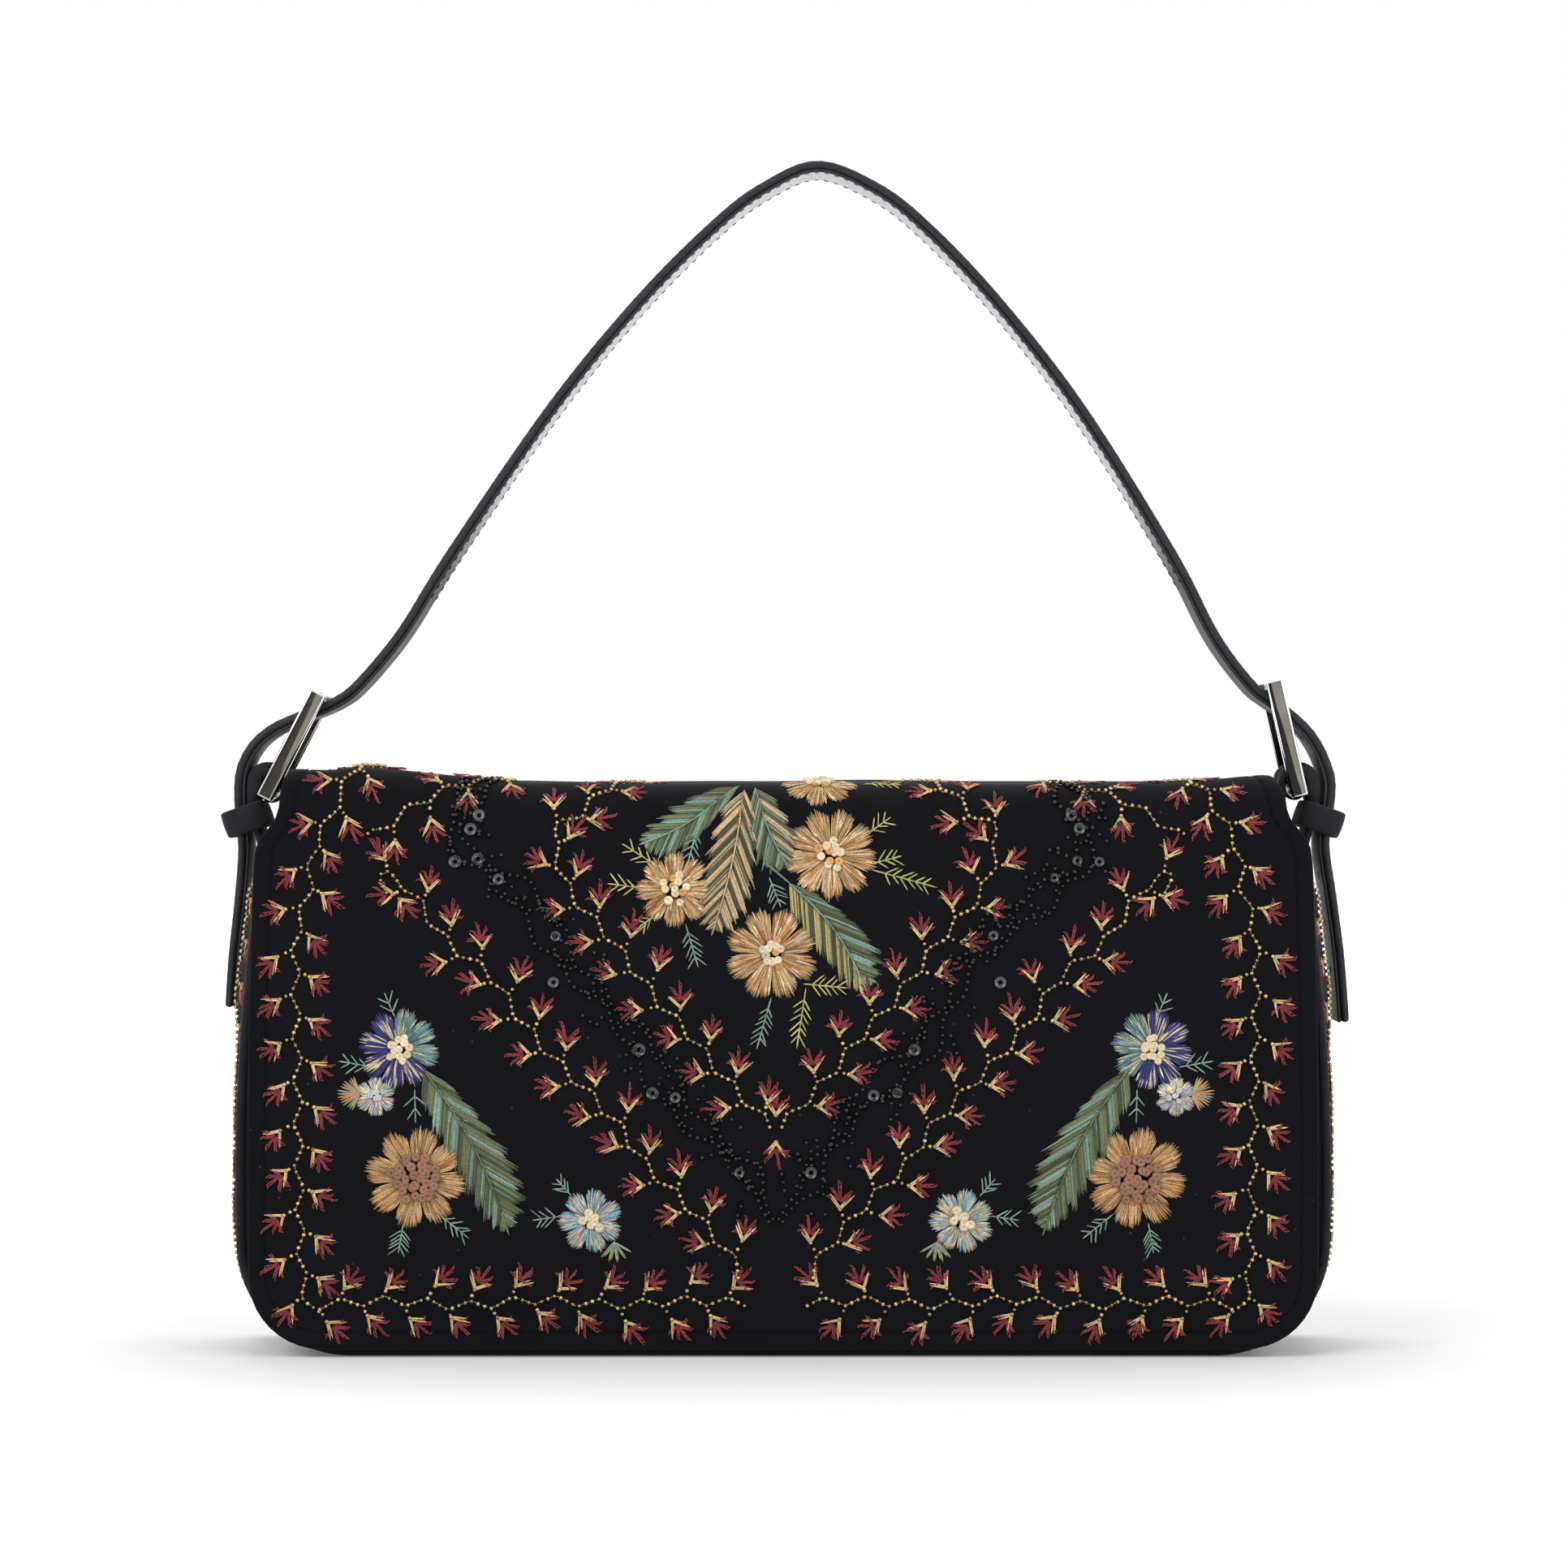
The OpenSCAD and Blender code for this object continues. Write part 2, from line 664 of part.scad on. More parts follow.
// Route of the strap's middle line seen from the front, from the left tail to the right one,
// as X and the height above the swing axis, for loops at route_loop_x
route_loop_x = 130.35;
strap_route = [
    [-139.6, -39.2], [-138.7, -26], [-137.2, -12], [-136.3, 1], [-137.2, 11.5],
    [-137.1, 19], [-135.5, 23.9], [-132.6, 28], [-128.4, 31.2], [-124.1, 33.2],
    [-120.1, 34.8], [-116.4, 36.2], [-112.6, 38], [-108.6, 40.8], [-102, 48],
    [-95, 57.2], [-83.5, 75.7], [-58.1, 112.6], [-36, 139.5], [-16.7, 158.8],
    [-4.5, 168], [8.7, 173.3], [23, 168], [35.2, 158.8], [53, 140.3],
    [74.7, 112.6], [97.8, 75.7], [107.4, 57.2], [112.9, 48.6], [118.8, 41.4],
    [121.9, 38.9], [125.1, 36.7], [128.8, 33.9], [132.4, 30.4], [135.1, 26.4],
    [137, 22.1], [138.1, 18], [137.9, 12.5], [136.6, 2], [138.3, -11],
    [140.3, -26], [141.6, -43]];

// The ends move with the tabs' loops, and the arch between them widens to suit
end_x = 108;
function widened(x) = x + (loop_x - route_loop_x) * max(-1, min(1, x / end_x));
strap_line = smooth([for (p = strap_route) [widened(p[0]), swing_z + p[1]]], 4);

// A slot for the prong at each end and a few adjusting holes in each tail
slot_l = 11;
slot_at = 17.3;
slot_out = 3.6;
hole_count = 3;
hole_start = 6;
cut_depth = 8;
module prong_slot() {
    translate([slot_out, 0, slot_at]) rotate([0, -cross_angle - 1, 0])
        cube([cut_depth, prong_w + 0.8, slot_l], center = true);
}
module strap_cuts() {
    at_left_bar() prong_slot();
    at_right_bar() prong_slot();
    for (side = [-1, 1], i = [0:hole_count - 1]) {
        translate([side * keeper_x, strap_y, swing_z - hole_start - i * hole_p])
            rotate([0, 90, 0]) cylinder(d = hole_d, h = 2 * cut_depth, center = true);
    }
}

module strap_layer(a, b, width) {
    difference() {
        along_y(strap_y - width / 2, strap_y + width / 2) polygon(ribbon(strap_line, a, b));
        strap_cuts();
    }
}

module shoulder_strap() {
    color(leather) strap_layer(strap_lining_t - strap_half, strap_half, strap_w);
}

module strap_lining() {
    color(pale) strap_layer(-strap_half, strap_lining_t - strap_half, strap_w - 0.4);
}

// A keeper is a slanted band round the tab's outer leg and the strap's tail
keeper_x = loop_x + 6.55;
keeper_z = swing_z + 8;
keeper_tilt = 19.5;
keeper_h = 6.7;
keeper_in = 4.9;
keeper_out = 3.1;
keeper_t = 1.4;
module keeper_right() {
    inner_w = strap_w + 0.6;
    translate([keeper_x, strap_y, keeper_z]) rotate([0, keeper_tilt, 0]) difference() {
        translate([-keeper_in - keeper_t, -inner_w / 2 - keeper_t, -keeper_h / 2])
            cube([keeper_in + keeper_out + 2 * keeper_t, inner_w + 2 * keeper_t, keeper_h]);
        translate([-keeper_in, -inner_w / 2, -keeper_h])
            cube([keeper_in + keeper_out, inner_w, 2 * keeper_h]);
    }
}

module left_keeper() {
    color(suede) mirror([1, 0, 0]) keeper_right();
}

module right_keeper() {
    color(suede) keeper_right();
}

front_panel();
back_panel();
gusset();
base_board();
front_piping();
back_piping();
front_lining();
back_lining();
gusset_lining();
front_facing();
back_facing();
pocket_pouch();
zip_tapes();
zip_teeth();
zip_stops();
zip_slider();
zip_pull();
snap_socket();
socket_plate();
snap_stud();
stud_plate();
flap_rear();
flap_rear_lining();
flap_top();
flap_top_lining();
flap_front();
flap_front_lining();
left_tab();
right_tab();
left_keeper();
right_keeper();
shoulder_strap();
strap_lining();
left_buckle();
right_buckle();
left_prong();
right_prong();
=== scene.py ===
import math

import bmesh
import bpy
import numpy as np
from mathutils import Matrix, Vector


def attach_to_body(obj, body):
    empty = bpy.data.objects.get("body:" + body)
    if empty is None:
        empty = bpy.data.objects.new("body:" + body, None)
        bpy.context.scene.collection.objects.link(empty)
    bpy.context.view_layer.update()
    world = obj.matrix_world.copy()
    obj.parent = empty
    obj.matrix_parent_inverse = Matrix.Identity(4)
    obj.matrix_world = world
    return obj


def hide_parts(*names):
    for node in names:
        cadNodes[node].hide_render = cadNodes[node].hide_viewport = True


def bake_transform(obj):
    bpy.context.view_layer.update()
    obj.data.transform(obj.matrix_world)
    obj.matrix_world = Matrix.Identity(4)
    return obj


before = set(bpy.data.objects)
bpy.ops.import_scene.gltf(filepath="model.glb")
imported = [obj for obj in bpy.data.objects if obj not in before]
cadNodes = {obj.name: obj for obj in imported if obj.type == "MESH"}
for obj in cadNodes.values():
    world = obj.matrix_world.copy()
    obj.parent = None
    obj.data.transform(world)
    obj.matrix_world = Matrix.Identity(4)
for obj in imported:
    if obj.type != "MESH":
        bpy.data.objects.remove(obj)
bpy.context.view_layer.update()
scene = bpy.context.scene
mm = 0.001
quarterTurn = math.pi / 2
print("frame loaded:", len(cadNodes), "nodes")


# node helpers: inputs are constants or the sockets that feed them
def addNode(tree, kind, settings, inputs):
    node = tree.nodes.new(kind)
    for key, value in settings.items():
        setattr(node, key, value)
    for key, value in inputs.items():
        if isinstance(value, bpy.types.NodeSocket):
            tree.links.new(value, node.inputs[key])
        else:
            node.inputs[key].default_value = value
    return node


def calc(tree, operation, *values):
    node = addNode(tree, "ShaderNodeMath", {"operation": operation}, dict(enumerate(values)))
    return node.outputs[0]


def noise(tree, vector, scale, detail=2.0, **more):
    inputs = {"Vector": vector, "Scale": scale, "Detail": detail}
    inputs.update({key.capitalize(): value for key, value in more.items()})
    return addNode(tree, "ShaderNodeTexNoise", {}, inputs).outputs["Fac"]


def stretch(tree, vector, scale):
    return addNode(tree, "ShaderNodeMapping", {}, {"Vector": vector, "Scale": scale}).outputs[0]


def mixColor(tree, factor, first, second, blendType="MIX"):
    node = addNode(tree, "ShaderNodeMix", {"data_type": "RGBA", "blend_type": blendType}, {
        0: factor, 6: first, 7: second})
    return node.outputs[2]


def rescale(tree, value, low, high, fromLow=0.0, fromHigh=1.0):
    node = addNode(tree, "ShaderNodeMapRange", {}, {
        "Value": value, "From Min": fromLow, "From Max": fromHigh, "To Min": low, "To Max": high})
    return node.outputs["Result"]


def objectCoords(tree):
    return tree.nodes.new("ShaderNodeTexCoord").outputs["Object"]


# one where the camera, a mirror or a glass sees the thing, zero for its light
def shownDirectly(tree):
    rays = tree.nodes.new("ShaderNodeLightPath").outputs
    mirrored = calc(tree, "MAXIMUM", rays["Is Camera Ray"], rays["Is Glossy Ray"])
    return calc(tree, "MAXIMUM", mirrored, rays["Is Transmission Ray"])


def newMaterial(name, **constants):
    material = bpy.data.materials.new(name)
    material.use_nodes = True
    tree = material.node_tree
    shader = tree.nodes["Principled BSDF"]
    for key, value in constants.items():
        label = " ".join(word.capitalize() for word in key.split("_")).replace("Ior", "IOR")
        shader.inputs[label].default_value = value
    return material, tree, shader


def addSocket(tree, label, direction, kind, value=None):
    kind = "NodeSocket" + kind
    socket = tree.interface.new_socket(name=label, in_out=direction, socket_type=kind)
    if value is not None:
        socket.default_value = value


# a shader group: build gets the group and its inputs, and returns what comes out
def shadeGroup(name, inputs, build):
    group = bpy.data.node_groups.new(name, "ShaderNodeTree")
    addSocket(group, "Vector", "INPUT", "Vector")
    for label, value in inputs.items():
        addSocket(group, label, "INPUT", "Float" if isinstance(value, float) else "Color", value)
    made = build(group, group.nodes.new("NodeGroupInput").outputs)
    result = group.nodes.new("NodeGroupOutput")
    for label, value in made.items():
        addSocket(group, label, "OUTPUT", "Color" if label == "Color" else "Float")
        group.links.new(value, result.inputs[label])
    return group


# a colour given in the usual 0 to 255, turned into the shader's linear values
def tone(red, green, blue):
    parts = [channel / 255 for channel in (red, green, blue)]
    return tuple(c / 12.92 if c < 0.04045 else ((c + 0.055) / 1.055) ** 2.4 for c in parts)


def paint(*channels):
    return (*tone(*channels), 1)


# camera, lamps and floor
stage = {
    "cameraAt": (0.2, -1430.0, 141.2), "lens": 130.4,
    "skyStrength": 0.62,  # light from the white surroundings
    "floorGlow": (0.1, 0.8),  # lifts the floor to white, more so away from the bag
    "glowReach": (0.16, 0.75),
    "floorCorners": [(-4, -3, 0), (4, -3, 0), (4, 5, 0), (-4, 5, 0)],
    "lamps": [  # place, aim, size and power
        ((-700, -1100, 900), (0, 0, 120), 900, 9.0),
        ((900, -900, 500), (0, 0, 120), 700, 4.0),
        ((0, 500, 1200), (0, 0, 150), 800, 5.0),
    ],
}
white = (1, 1, 1, 1)


def addToScene(name, data):
    thing = bpy.data.objects.new(name, data)
    scene.collection.objects.link(thing)
    return thing


def buildStage():
    camera = addToScene("camera", bpy.data.cameras.new("camera"))
    camera.data.lens = stage["lens"]
    camera.data.clip_end = 20
    camera.location = Vector(stage["cameraAt"]) * mm
    camera.rotation_euler = (quarterTurn, 0, 0)
    scene.camera = camera
    scene.view_settings.view_transform = "Standard"

    for index, (place, aim, size, power) in enumerate(stage["lamps"]):
        lamp = addToScene(f"softbox{index}", bpy.data.lights.new(f"softbox{index}", "AREA"))
        lamp.data.size = size * mm
        lamp.data.energy = power
        lamp.location = Vector(place) * mm
        lamp.rotation_euler = (Vector(aim) - Vector(place)).to_track_quat("-Z", "Y").to_euler()

    scene.world = bpy.data.worlds.new("surroundings")
    scene.world.use_nodes = True
    tree = scene.world.node_tree
    background = tree.nodes["Background"]
    background.inputs["Color"].default_value = white
    strength = rescale(tree, shownDirectly(tree), stage["skyStrength"], 1.0)
    tree.links.new(strength, background.inputs["Strength"])

    floorMesh = bpy.data.meshes.new("floor")
    floorMesh.from_pydata(stage["floorCorners"], [], [(0, 1, 2, 3)])
    floor = addToScene("floor", floorMesh)
    material, tree, shader = newMaterial("paper floor", roughness=0.9, emission_color=white)
    coords = objectCoords(tree)
    tint = mixColor(tree, noise(tree, coords, 60.0), (0.86, 0.86, 0.87, 1), (0.9, 0.9, 0.9, 1))
    tree.links.new(tint, shader.inputs["Base Color"])
    away = addNode(tree, "ShaderNodeVectorMath", {"operation": "LENGTH"}, {0: coords})
    lift = rescale(tree, away.outputs["Value"], *stage["floorGlow"], *stage["glowReach"])
    glow = calc(tree, "MULTIPLY", shownDirectly(tree), lift)
    tree.links.new(glow, shader.inputs["Emission Strength"])
    floorMesh.materials.append(material)


# short brushed pile: cloudy shade, fine fibres and a little lint
def buildNap(group, given):
    clouds = noise(group, given["Vector"], 38.0, 4.0, roughness=0.6)
    fibres = noise(group, given["Vector"], given["Fibre Scale"], 3.0, distortion=1.2)
    pile = calc(group, "MULTIPLY_ADD", fibres, 0.45, rescale(group, clouds, 0.0, 0.55, 0.3, 0.7))
    shade = mixColor(group, pile, given["Deep"], given["Brushed"])
    specks = addNode(group, "ShaderNodeTexVoronoi", {}, {
        "Vector": given["Vector"], "Scale": 210.0, "Randomness": 1.0}).outputs
    dots = rescale(group, specks["Distance"], 1.0, 0.0, 0.02, 0.075)
    chosen = rescale(group, specks["Color"], 0.0, 1.0, 0.72, 0.8)
    lint = calc(group, "MULTIPLY", calc(group, "MULTIPLY", dots, given["Lint Share"]), chosen)
    return {"Color": mixColor(group, lint, shade, given["Lint"]),
            "Roughness": rescale(group, clouds, 0.84, 0.98), "Height": pile}


# leather: fine pebbles, darker creases and polished high spots
def buildGrain(group, given):
    pebbles = addNode(group, "ShaderNodeTexVoronoi", {"feature": "SMOOTH_F1"}, {
        "Vector": given["Vector"], "Scale": given["Grain Scale"]}).outputs["Distance"]
    broad = noise(group, given["Vector"], 55.0, 5.0)
    wear = rescale(group, broad, 0.0, 1.0, 0.42, 0.72)
    tint = mixColor(group, wear, given["Hide"], given["Worn"])
    crease = rescale(group, pebbles, 1.0, 0.72, 0.25, 0.6)
    bumps = rescale(group, pebbles, 1.0, 0.0)
    return {"Color": mixColor(group, 1.0, tint, crease, "MULTIPLY"),
            "Roughness": calc(group, "MULTIPLY_ADD", broad, 0.18, given["Polish"]),
            "Height": calc(group, "MULTIPLY_ADD", broad, 0.4, bumps)}


# woven cloth: crossing yarns with an uneven shade
def buildWeave(group, given):
    along, up = (addNode(group, "ShaderNodeTexWave", {"bands_direction": direction}, {
        "Vector": given["Vector"], "Scale": given["Yarns"], "Distortion": 0.6}).outputs["Fac"]
        for direction in "XZ")
    cloud = rescale(group, noise(group, given["Vector"], 90.0, 4.0), 0.0, 0.6)
    share = calc(group, "MULTIPLY_ADD", along, 0.5, cloud)
    return {"Color": mixColor(group, share, given["Warp"], given["Weft"]),
            "Height": calc(group, "MAXIMUM", along, up)}


# hair scratches and cloudy handling marks on plated metal
def buildHandling(group, given):
    marks = noise(group, given["Vector"], 140.0, 4.0)
    share = rescale(group, marks, 0.0, 1.0, 0.45, 0.75)
    return {"Color": mixColor(group, share, given["Plate"], given["Rubbed"]),
            "Roughness": calc(group, "MULTIPLY_ADD", marks, 0.12, given["Polish"]),
            "Height": noise(group, stretch(group, given["Vector"], (1.0, 1.0, 0.06)), 1500.0)}


def addBump(tree, shader, strength, distance, height):
    bump = addNode(tree, "ShaderNodeBump", {}, {
        "Strength": strength, "Distance": distance * mm, "Height": height})
    tree.links.new(bump.outputs["Normal"], shader.inputs["Normal"])


def placeGroup(tree, shader, group, values, strength, distance):
    node = tree.nodes.new("ShaderNodeGroup")
    node.node_tree = group
    tree.links.new(objectCoords(tree), node.inputs["Vector"])
    for key, value in values.items():
        node.inputs[key].default_value = value
    tree.links.new(node.outputs["Color"], shader.inputs["Base Color"])
    if "Roughness" in node.outputs:
        tree.links.new(node.outputs["Roughness"], shader.inputs["Roughness"])
    addBump(tree, shader, strength, distance, node.outputs["Height"])
    return node.outputs["Color"]


# bump is its strength and its depth in millimetres
def groupMaterial(name, group, bump, values, **constants):
    material, tree, shader = newMaterial(name, **constants)
    placeGroup(tree, shader, group, values, *bump)
    return material


# dyed thread: the stitch's own colour, streaked along with fine strands
def threadMaterial(name, **constants):
    material, tree, shader = newMaterial(name, **constants)
    dye = addNode(tree, "ShaderNodeAttribute", {"attribute_name": "tint"}, {})
    strands = noise(tree, objectCoords(tree), 2600.0, 3.0)
    shade = rescale(tree, strands, 0.62, 1.3, 0.3, 0.7)
    colour = mixColor(tree, 1.0, dye.outputs["Color"], shade, "MULTIPLY")
    tree.links.new(colour, shader.inputs["Base Color"])
    addBump(tree, shader, 0.5, 0.12, strands)
    return material


# what the groups take where a material gives nothing
dark, middling, light = ((v, v, v, 1) for v in (0.0, 0.1, 0.3))
nap = shadeGroup("brushed nap", {"Deep": dark, "Brushed": middling, "Lint": light,
                                 "Fibre Scale": 1400.0, "Lint Share": 0.5}, buildNap)
grain = shadeGroup("leather grain", {"Hide": dark, "Worn": middling, "Grain Scale": 900.0,
                                     "Polish": 0.4}, buildGrain)
weave = shadeGroup("fine weave", {"Warp": dark, "Weft": middling, "Yarns": 260.0}, buildWeave)
handling = shadeGroup("handling marks", {"Plate": light, "Rubbed": light, "Polish": 0.15},
                      buildHandling)

velvet = groupMaterial(
    "black velvety suede", nap, (0.6, 0.4),
    {"Deep": paint(7, 7, 10), "Brushed": paint(20, 19, 24), "Lint": paint(92, 92, 98),
     "Lint Share": 0.45},
    sheen_weight=0.1, sheen_roughness=0.4, sheen_tint=(0.55, 0.55, 0.6, 1), specular_ior_level=0.1)
suedeTrim = groupMaterial(
    "black suede trim", nap, (0.6, 0.35),
    {"Deep": paint(17, 17, 20), "Brushed": paint(46, 46, 50), "Lint": paint(90, 90, 95),
     "Fibre Scale": 1100.0, "Lint Share": 0.3},
    sheen_weight=0.16, sheen_roughness=0.5, sheen_tint=(0.6, 0.6, 0.62, 1), specular_ior_level=0.18)
strapHide = groupMaterial(
    "charcoal strap leather", grain, (0.25, 0.12),
    {"Hide": paint(38, 39, 43), "Worn": paint(49, 50, 54), "Grain Scale": 1300.0, "Polish": 0.42},
    specular_ior_level=0.22)
satin = groupMaterial(
    "dark satin lining", weave, (0.2, 0.05),
    {"Warp": paint(52, 50, 58), "Weft": paint(78, 76, 86), "Yarns": 420.0},
    roughness=0.42, sheen_weight=0.2)
tapeCloth = groupMaterial(
    "woven zip tape", weave, (0.6, 0.15),
    {"Warp": paint(30, 30, 33), "Weft": paint(50, 50, 54), "Yarns": 150.0}, roughness=0.8)
boardCloth = groupMaterial(
    "cloth covered board", weave, (0.5, 0.12),
    {"Warp": paint(36, 35, 40), "Weft": paint(56, 55, 62), "Yarns": 180.0}, roughness=0.75)
gunmetal = groupMaterial(
    "polished gunmetal", handling, (0.05, 0.02),
    {"Plate": (0.17, 0.163, 0.155, 1), "Rubbed": (0.3, 0.29, 0.275, 1), "Polish": 0.07},
    metallic=1.0)

# the strap's lining: pale under the arch, dark at its inked edges, and darker towards the bottom
# with painted shade in the loops and tails
paleLining = {
    "hide": paint(240, 239, 242), "worn": paint(248, 247, 250), "inkAndShade": paint(36, 37, 40),
    "middleY": 14.5, "inkFrom": (9.5, 9.62), "shadeBelow": (194, 220),
}


def strapPaleMaterial():
    material, tree, shader = newMaterial("pale strap lining", specular_ior_level=0.3)
    pale = placeGroup(tree, shader, grain, {
        "Hide": paleLining["hide"], "Worn": paleLining["worn"], "Grain Scale": 1600.0,
        "Polish": 0.5}, 0.12, 0.08)
    place = addNode(tree, "ShaderNodeSeparateXYZ", {}, {"Vector": objectCoords(tree)}).outputs
    across = calc(tree, "SUBTRACT", place["Y"], paleLining["middleY"] * mm)
    inked = rescale(tree, calc(tree, "ABSOLUTE", across), 0.0, 1.0,
                    *(c * mm for c in paleLining["inkFrom"]))
    # painted shade: the lining darkens towards the bottom, through the loops and tails
    shadedLow = rescale(tree, place["Z"], 1.0, 0.0, *(c * mm for c in paleLining["shadeBelow"]))
    colour = mixColor(tree, calc(tree, "MAXIMUM", inked, shadedLow), pale, paleLining["inkAndShade"])
    tree.links.new(colour, shader.inputs["Base Color"])
    return material


strapPale = strapPaleMaterial()

# a buckle's plating with painted reflections: a dark painted reflection on its face with a paler
# painted band along it, and painted highlights along its rims and at its bar ends
plating = {
    "plate": (0.24, 0.23, 0.195, 1), "rubbed": (0.31, 0.3, 0.26, 1), "rim": (0.86, 0.855, 0.85, 1),
    "rimHighlightFrom": (1.66, 1.74), "middle": 12.8, "tipHighlightFrom": (14.5, 14.6), "reflectionBandEdge": (0.72, 0.98),
}


def buckleMetal(name, at, lean, band, streak, darkReflection):
    material, tree, shader = newMaterial(name, metallic=1.0)
    marked = placeGroup(tree, shader, handling, {
        "Plate": plating["plate"], "Rubbed": plating["rubbed"], "Polish": 0.06}, 0.05, 0.02)
    local = addNode(tree, "ShaderNodeMapping", {"vector_type": "TEXTURE"}, {
        "Vector": objectCoords(tree), "Location": Vector(at) * mm,
        "Rotation": (0, math.radians(lean), 0)}).outputs[0]
    place = addNode(tree, "ShaderNodeSeparateXYZ", {}, {"Vector": local}).outputs
    # the paler band is a painted reflection, and these streaks wobble its edge
    reflectionStreaks = noise(tree, stretch(tree, local, (1.0, 0.4, 0.07)), 620.0, 1.0, distortion=0.6)
    start = rescale(tree, place["Z"], band[0] * mm, band[1] * mm, 1 * mm, 27 * mm)
    pastReflectionEdge = calc(tree, "SUBTRACT", calc(tree, "MULTIPLY_ADD", reflectionStreaks, streak * mm, place["X"]),
                  start)
    pale = rescale(tree, pastReflectionEdge, 0.0, 1.0, *(c * mm for c in plating["reflectionBandEdge"]))
    # the face: the dark painted reflection, with the plating's own handling marks in the paler band
    face = mixColor(tree, pale, (*darkReflection, 1), marked)
    # painted highlight along the side rims
    rim = rescale(tree, calc(tree, "ABSOLUTE", place["X"]), 0.0, 1.0,
                  *(c * mm for c in plating["rimHighlightFrom"]))
    # painted highlight at both ends of the bars
    far = calc(tree, "ABSOLUTE", calc(tree, "SUBTRACT", place["Z"], plating["middle"] * mm))
    tipHighlight = rescale(tree, far, 0.0, 0.6, *(c * mm for c in plating["tipHighlightFrom"]))
    colour = mixColor(tree, calc(tree, "MAXIMUM", rim, tipHighlight), face, plating["rim"])
    tree.links.new(colour, shader.inputs["Base Color"])
    return material


# each buckle has its own painted reflection band, wobble and dark face, set to how the light fell
# on it
leftPlating = buckleMetal("left buckle plating", (-129.9, 0, 139.5), 27.2, (1.5, 0.4), 2.9,
                          (0.052, 0.048, 0.044))
rightPlating = buckleMetal("right buckle plating", (129.9, 0, 140.2), -12.8, (0.2, -1.2), 1.6,
                           (0.03, 0.028, 0.03))
goldBead = threadMaterial("gold seed beads", metallic=0.8, roughness=0.2)
jetBead = threadMaterial("black glass beads", roughness=0.14, specular_ior_level=0.4)
jetSequin = threadMaterial("black sequins", roughness=0.1, coat_weight=0.5)
sewingThread = threadMaterial("embroidery thread", roughness=0.55, sheen_weight=0.1,
                              specular_ior_level=0.35)
seamThread = threadMaterial("black seam thread", roughness=0.7, specular_ior_level=0.08)
print("materials ready")

# the bag's own outline, in millimetres, as the frame has it
body = {
    "halfWidth": 135.3, "widthTaper": 5.8, "halfDepth": 29.0, "depthTaper": 4.0, "swellZ": 45.0,
    "gussetTop": 122.0, "panelTop": 133.0, "cornerRadius": 28.0, "seamIn": 2.5,
    "pipingRadius": 1.2, "swingZ": 124.0, "panelThick": 1.6, "liningThick": 0.7,
}
flap = {
    "low": 2.0, "cornerRadius": 18.0, "standOff": 4.6, "rollZ": 130.0, "rollRadius": 12.0,
    "rearRadius": 8.0, "rearOff": 1.7, "lap": 10.0, "cutY": -10.0, "sideIn": 3.5,
    "sideTaper": 1.2, "skinThick": 1.6, "liningIn": 1.7, "liningThick": 0.7, "hem": 1.5,
    "bellyRise": 0.7, "bellyHalf": 128, "seamAt": 4.3, "seamDepth": 0.32, "seamWide": 0.38,
    "shoulderFrom": (112, 118),
}


# zero where the body is widest, one at the given top
def shareUp(z, top):
    return (np.asarray(z, float) - body["swellZ"]) / (top - body["swellZ"])


def halfWidthAt(z):
    return body["halfWidth"] - body["widthTaper"] * shareUp(z, body["gussetTop"]) ** 2


def halfDepthAt(z):
    return body["halfDepth"] - body["depthTaper"] * shareUp(z, body["panelTop"]) ** 2


def smoothPath(points, steps):
    p = np.array(points, float)
    out = []
    for i in range(len(p) - 1):
        a, b, c, d = p[max(i - 1, 0)], p[i], p[i + 1], p[min(i + 2, len(p) - 1)]
        for t in np.arange(steps) / steps:
            out.append(0.5 * (2 * b + (c - a) * t + (2 * a - 5 * b + 4 * c - d) * t * t
                              + (3 * b - a - 3 * c + d) * t ** 3))
    out.append(p[-1])
    return np.array(out)


def lengthsAlong(path):
    return np.concatenate([[0], np.cumsum(np.linalg.norm(np.diff(path, axis=0), axis=1))])


def directions(path, *lengths):
    tangent = np.gradient(path, *lengths, axis=0)
    return tangent / np.linalg.norm(tangent, axis=1)[:, None]


def pathFrame(path):
    lengths = lengthsAlong(path)
    return lengths, directions(path, lengths)


def leftOf(tangent):
    return np.stack([-tangent[:, 1], tangent[:, 0]], 1)


# both columns of a table read at a length along it
def readAt(s, lengths, table):
    return [np.interp(s, lengths, table[:, column]) for column in (0, 1)]


def easeIn(value, low, high):
    t = np.clip((np.asarray(value, float) - low) / (high - low), 0, 1)
    return t * t * (3 - 2 * t)


def fadeInOut(value, fades):
    return easeIn(value, *fades[0]) * (1 - easeIn(value, *fades[1]))


# a soft arch: one in the middle, zero at both sides, at the table and at the top
def swellOf(x, z, half, top):
    return np.clip(1 - (x / half) ** 2, 0, 1) * np.sin(math.pi * np.clip(z / top, 0, 1))


# lengths along the flap, measured up its outer face from the table
flapY = halfDepthAt(flap["rollZ"]) + flap["standOff"]
rollCentreY = flap["rollRadius"] - flapY
rollEnd = flap["rollZ"] + flap["rollRadius"] * quarterTurn
cutAt = rollEnd + flap["cutY"] - rollCentreY
rearTopZ = flap["rollZ"] + flap["rollRadius"] - flap["rearRadius"]
rearCentreY = halfDepthAt(rearTopZ) + flap["rearOff"] - flap["rearRadius"]
rearStart = rollEnd + rearCentreY - rollCentreY
rearEnd = rearStart + flap["rearRadius"] * quarterTurn
lapEnd = rearEnd + rearTopZ - (body["panelTop"] - flap["lap"])

